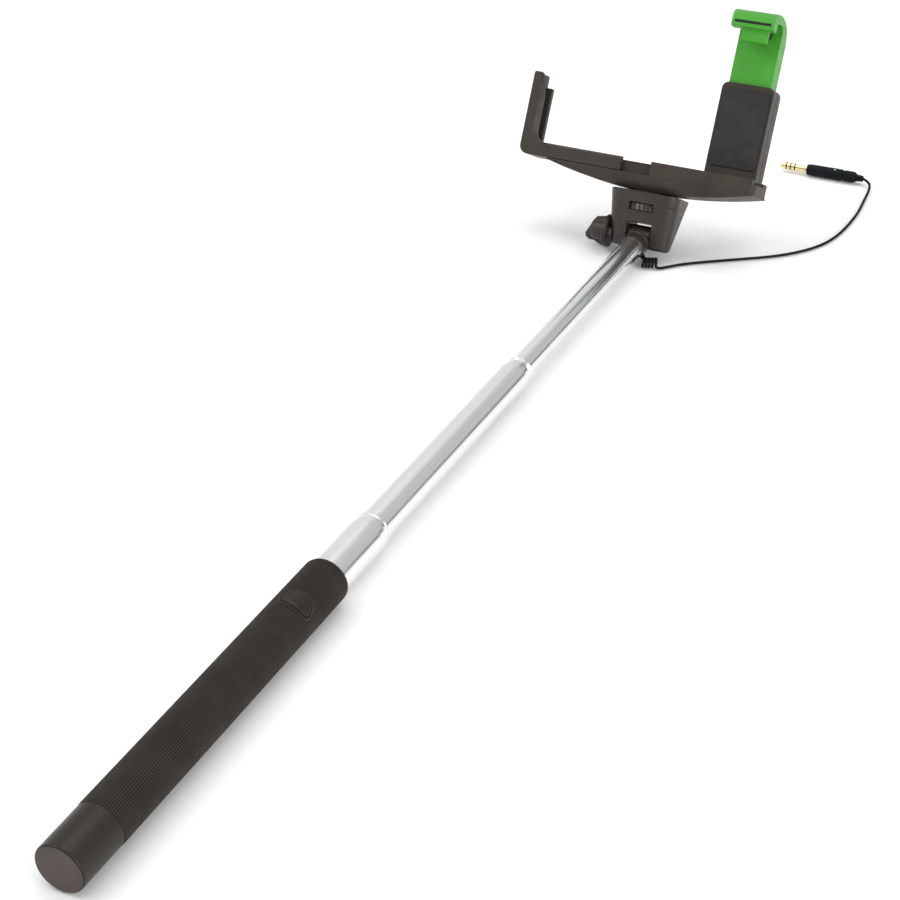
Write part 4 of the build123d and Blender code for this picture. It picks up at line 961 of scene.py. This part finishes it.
def make_plug():
    """The plug's barrel with its finger groove, its ringed relief and a white dot."""
    place = STICK @ Matrix.Translation((0, PLUG_Y, FLOOR + PLUG_HEIGHT))
    outline = [(1.52, PLUG_FRONT), (2.4, PLUG_FRONT, 0.2), (2.75, PLUG_FRONT + 0.7, 0.4),
               (2.9, PLUG_FRONT + 3, 2.0), (2.95, PLUG_FRONT + 18, 2.0), (2.8, PLUG_FRONT + 18.5, 0.2),
               (2.5, PLUG_FRONT + 18.7, 0.15), (2.5, PLUG_FRONT + 19.3, 0.15), (2.85, PLUG_FRONT + 19.5, 0.2),
               (2.8, PLUG_BACK - 1.2, 0.5), (2.2, PLUG_BACK, 0.3), (0, PLUG_BACK)]
    profile = [(point[0], point[1]) for point in rounded(outline, 4, closed=False)]
    profile += [(0, PLUG_FRONT + 4.0), (1.52, PLUG_FRONT + 4.0)]
    barrel = turned(profile, 72, "X", looped=True)
    piece("plug_skin", barrel, place, "inner_section", LEAD, ["plug_body"])
    section = [(0, PLUG_BACK), (1.88, PLUG_BACK)]
    for groove in range(3):
        x = PLUG_BACK + 0.65 + groove
        waist = 1.85 - 0.1 * groove
        section += [(waist, x), (1.45, x + 0.12), (1.45, x + 0.42), (waist - 0.05, x + 0.52)]
    section += [(1.4, RELIEF_BACK - 0.15), (1.2, RELIEF_BACK), (0, RELIEF_BACK)]
    piece("plug_relief_skin", turned(section, 56, "X"), place, "inner_section", LEAD, ["plug_relief"])
    dot = turned([(0, 2.2), (0.34, 2.2), (0.34, 2.93), (0.24, 2.97), (0, 2.98)], 24, "Z")
    dot_place = place @ Matrix.Translation((PLUG_FRONT + 14.5, 0, 0)) @ Matrix.Rotation(radians(20), 4, "X")
    piece("plug_dot", dot, dot_place, "inner_section", (dot_white, "insulator"))


make_grip()
make_bezel()
make_button()
make_end_cap()
make_tubes()
make_tip()
make_knuckle()
make_block()
make_thumbwheel()
make_wing_knob()
make_hull()
make_tray()
make_side_arm()
make_clamp()
make_clamp_strip()
make_housing()
make_pads()
make_plug()


# ---------------------------------------------------------------- floor and light

FLOOR_SIZE, FLOOR_GAP = 8.0, 0.0004          # metres


def make_floor():
    """A pale paper floor just under the stick."""
    bm = bmesh.new()
    half = FLOOR_SIZE / 2
    corners = [(-half, -half), (half, -half), (half, half), (-half, half)]
    bm.faces.new([bm.verts.new((x, y, -FLOOR_GAP)) for x, y in corners])
    floor = as_object(bm, "floor")
    material, tree, shader = new_material("floor_paper")
    shade = spread(tree, noise(tree, 300.0, 2.0), 0.0, 1.0)
    paper = blend_colours(tree, shade, (0.86, 0.86, 0.855), (0.88, 0.88, 0.875))
    tree.links.new(paper, shader.inputs["Base Color"])
    shader.inputs["Roughness"].default_value = 0.9
    floor.data.materials.append(material)


def make_world():
    """A pale studio: light on the left, greyer on the right, with a thin dark line at the right horizon."""
    world = bpy.data.worlds.new("studio")
    bpy.context.scene.world = world
    world.use_nodes = True
    tree = world.node_tree
    background = tree.nodes["Background"]
    place = tree.nodes.new("ShaderNodeTexCoord")
    axes = tree.nodes.new("ShaderNodeSeparateXYZ")
    tree.links.new(place.outputs["Generated"], axes.inputs["Vector"])
    side = spread(tree, axes.outputs["X"], 0.0, 1.0, (-0.25, 0.15))
    sky = blend_colours(tree, side, (0.95, 0.95, 0.95), (0.66, 0.66, 0.67))
    rise = spread(tree, axes.outputs["Z"], 0.0, 1.0, (0.10, 0.14))
    dark = blend_colours(tree, rise, (0.03, 0.03, 0.03), (1, 1, 1))
    right_only = tree.nodes.new("ShaderNodeMix")
    right_only.data_type = "RGBA"
    tree.links.new(spread(tree, axes.outputs["X"], 0.0, 1.0, (0.05, 0.25)), right_only.inputs["Factor"])
    right_only.inputs["A"].default_value = (1, 1, 1, 1)
    tree.links.new(dark, right_only.inputs["B"])
    product = tree.nodes.new("ShaderNodeMix")
    product.data_type = "RGBA"
    product.blend_type = "MULTIPLY"
    product.inputs["Factor"].default_value = 1.0
    tree.links.new(sky, product.inputs["A"])
    tree.links.new(right_only.outputs["Result"], product.inputs["B"])
    tree.links.new(product.outputs["Result"], background.inputs["Color"])
    background.inputs["Strength"].default_value = 0.95


def softbox(name, place, target, size, power):
    """A rectangular lamp, aimed at a target, with its places and size in metres."""
    light = bpy.data.lights.new(name, "AREA")
    light.shape = "RECTANGLE"
    light.size, light.size_y = size
    light.energy = power
    lamp = bpy.data.objects.new(name, light)
    lamp.location = Vector(place)
    lamp.rotation_euler = (Vector(target) - Vector(place)).to_track_quat("-Z", "Y").to_euler()
    bpy.context.collection.objects.link(lamp)


make_floor()
make_world()
softbox("key", (-0.9, -0.5, 1.3), (0, 0, 0), (1.0, 1.0), 9)
softbox("corner", (0.88, -0.25, 0.32), (0, 0.2, 0.02), (0.4, 0.5), 6)
softbox("top", (0.1, 0.5, 1.5), (0, 0.1, 0), (1.2, 0.8), 8)
bpy.context.scene.view_settings.view_transform = "Standard"
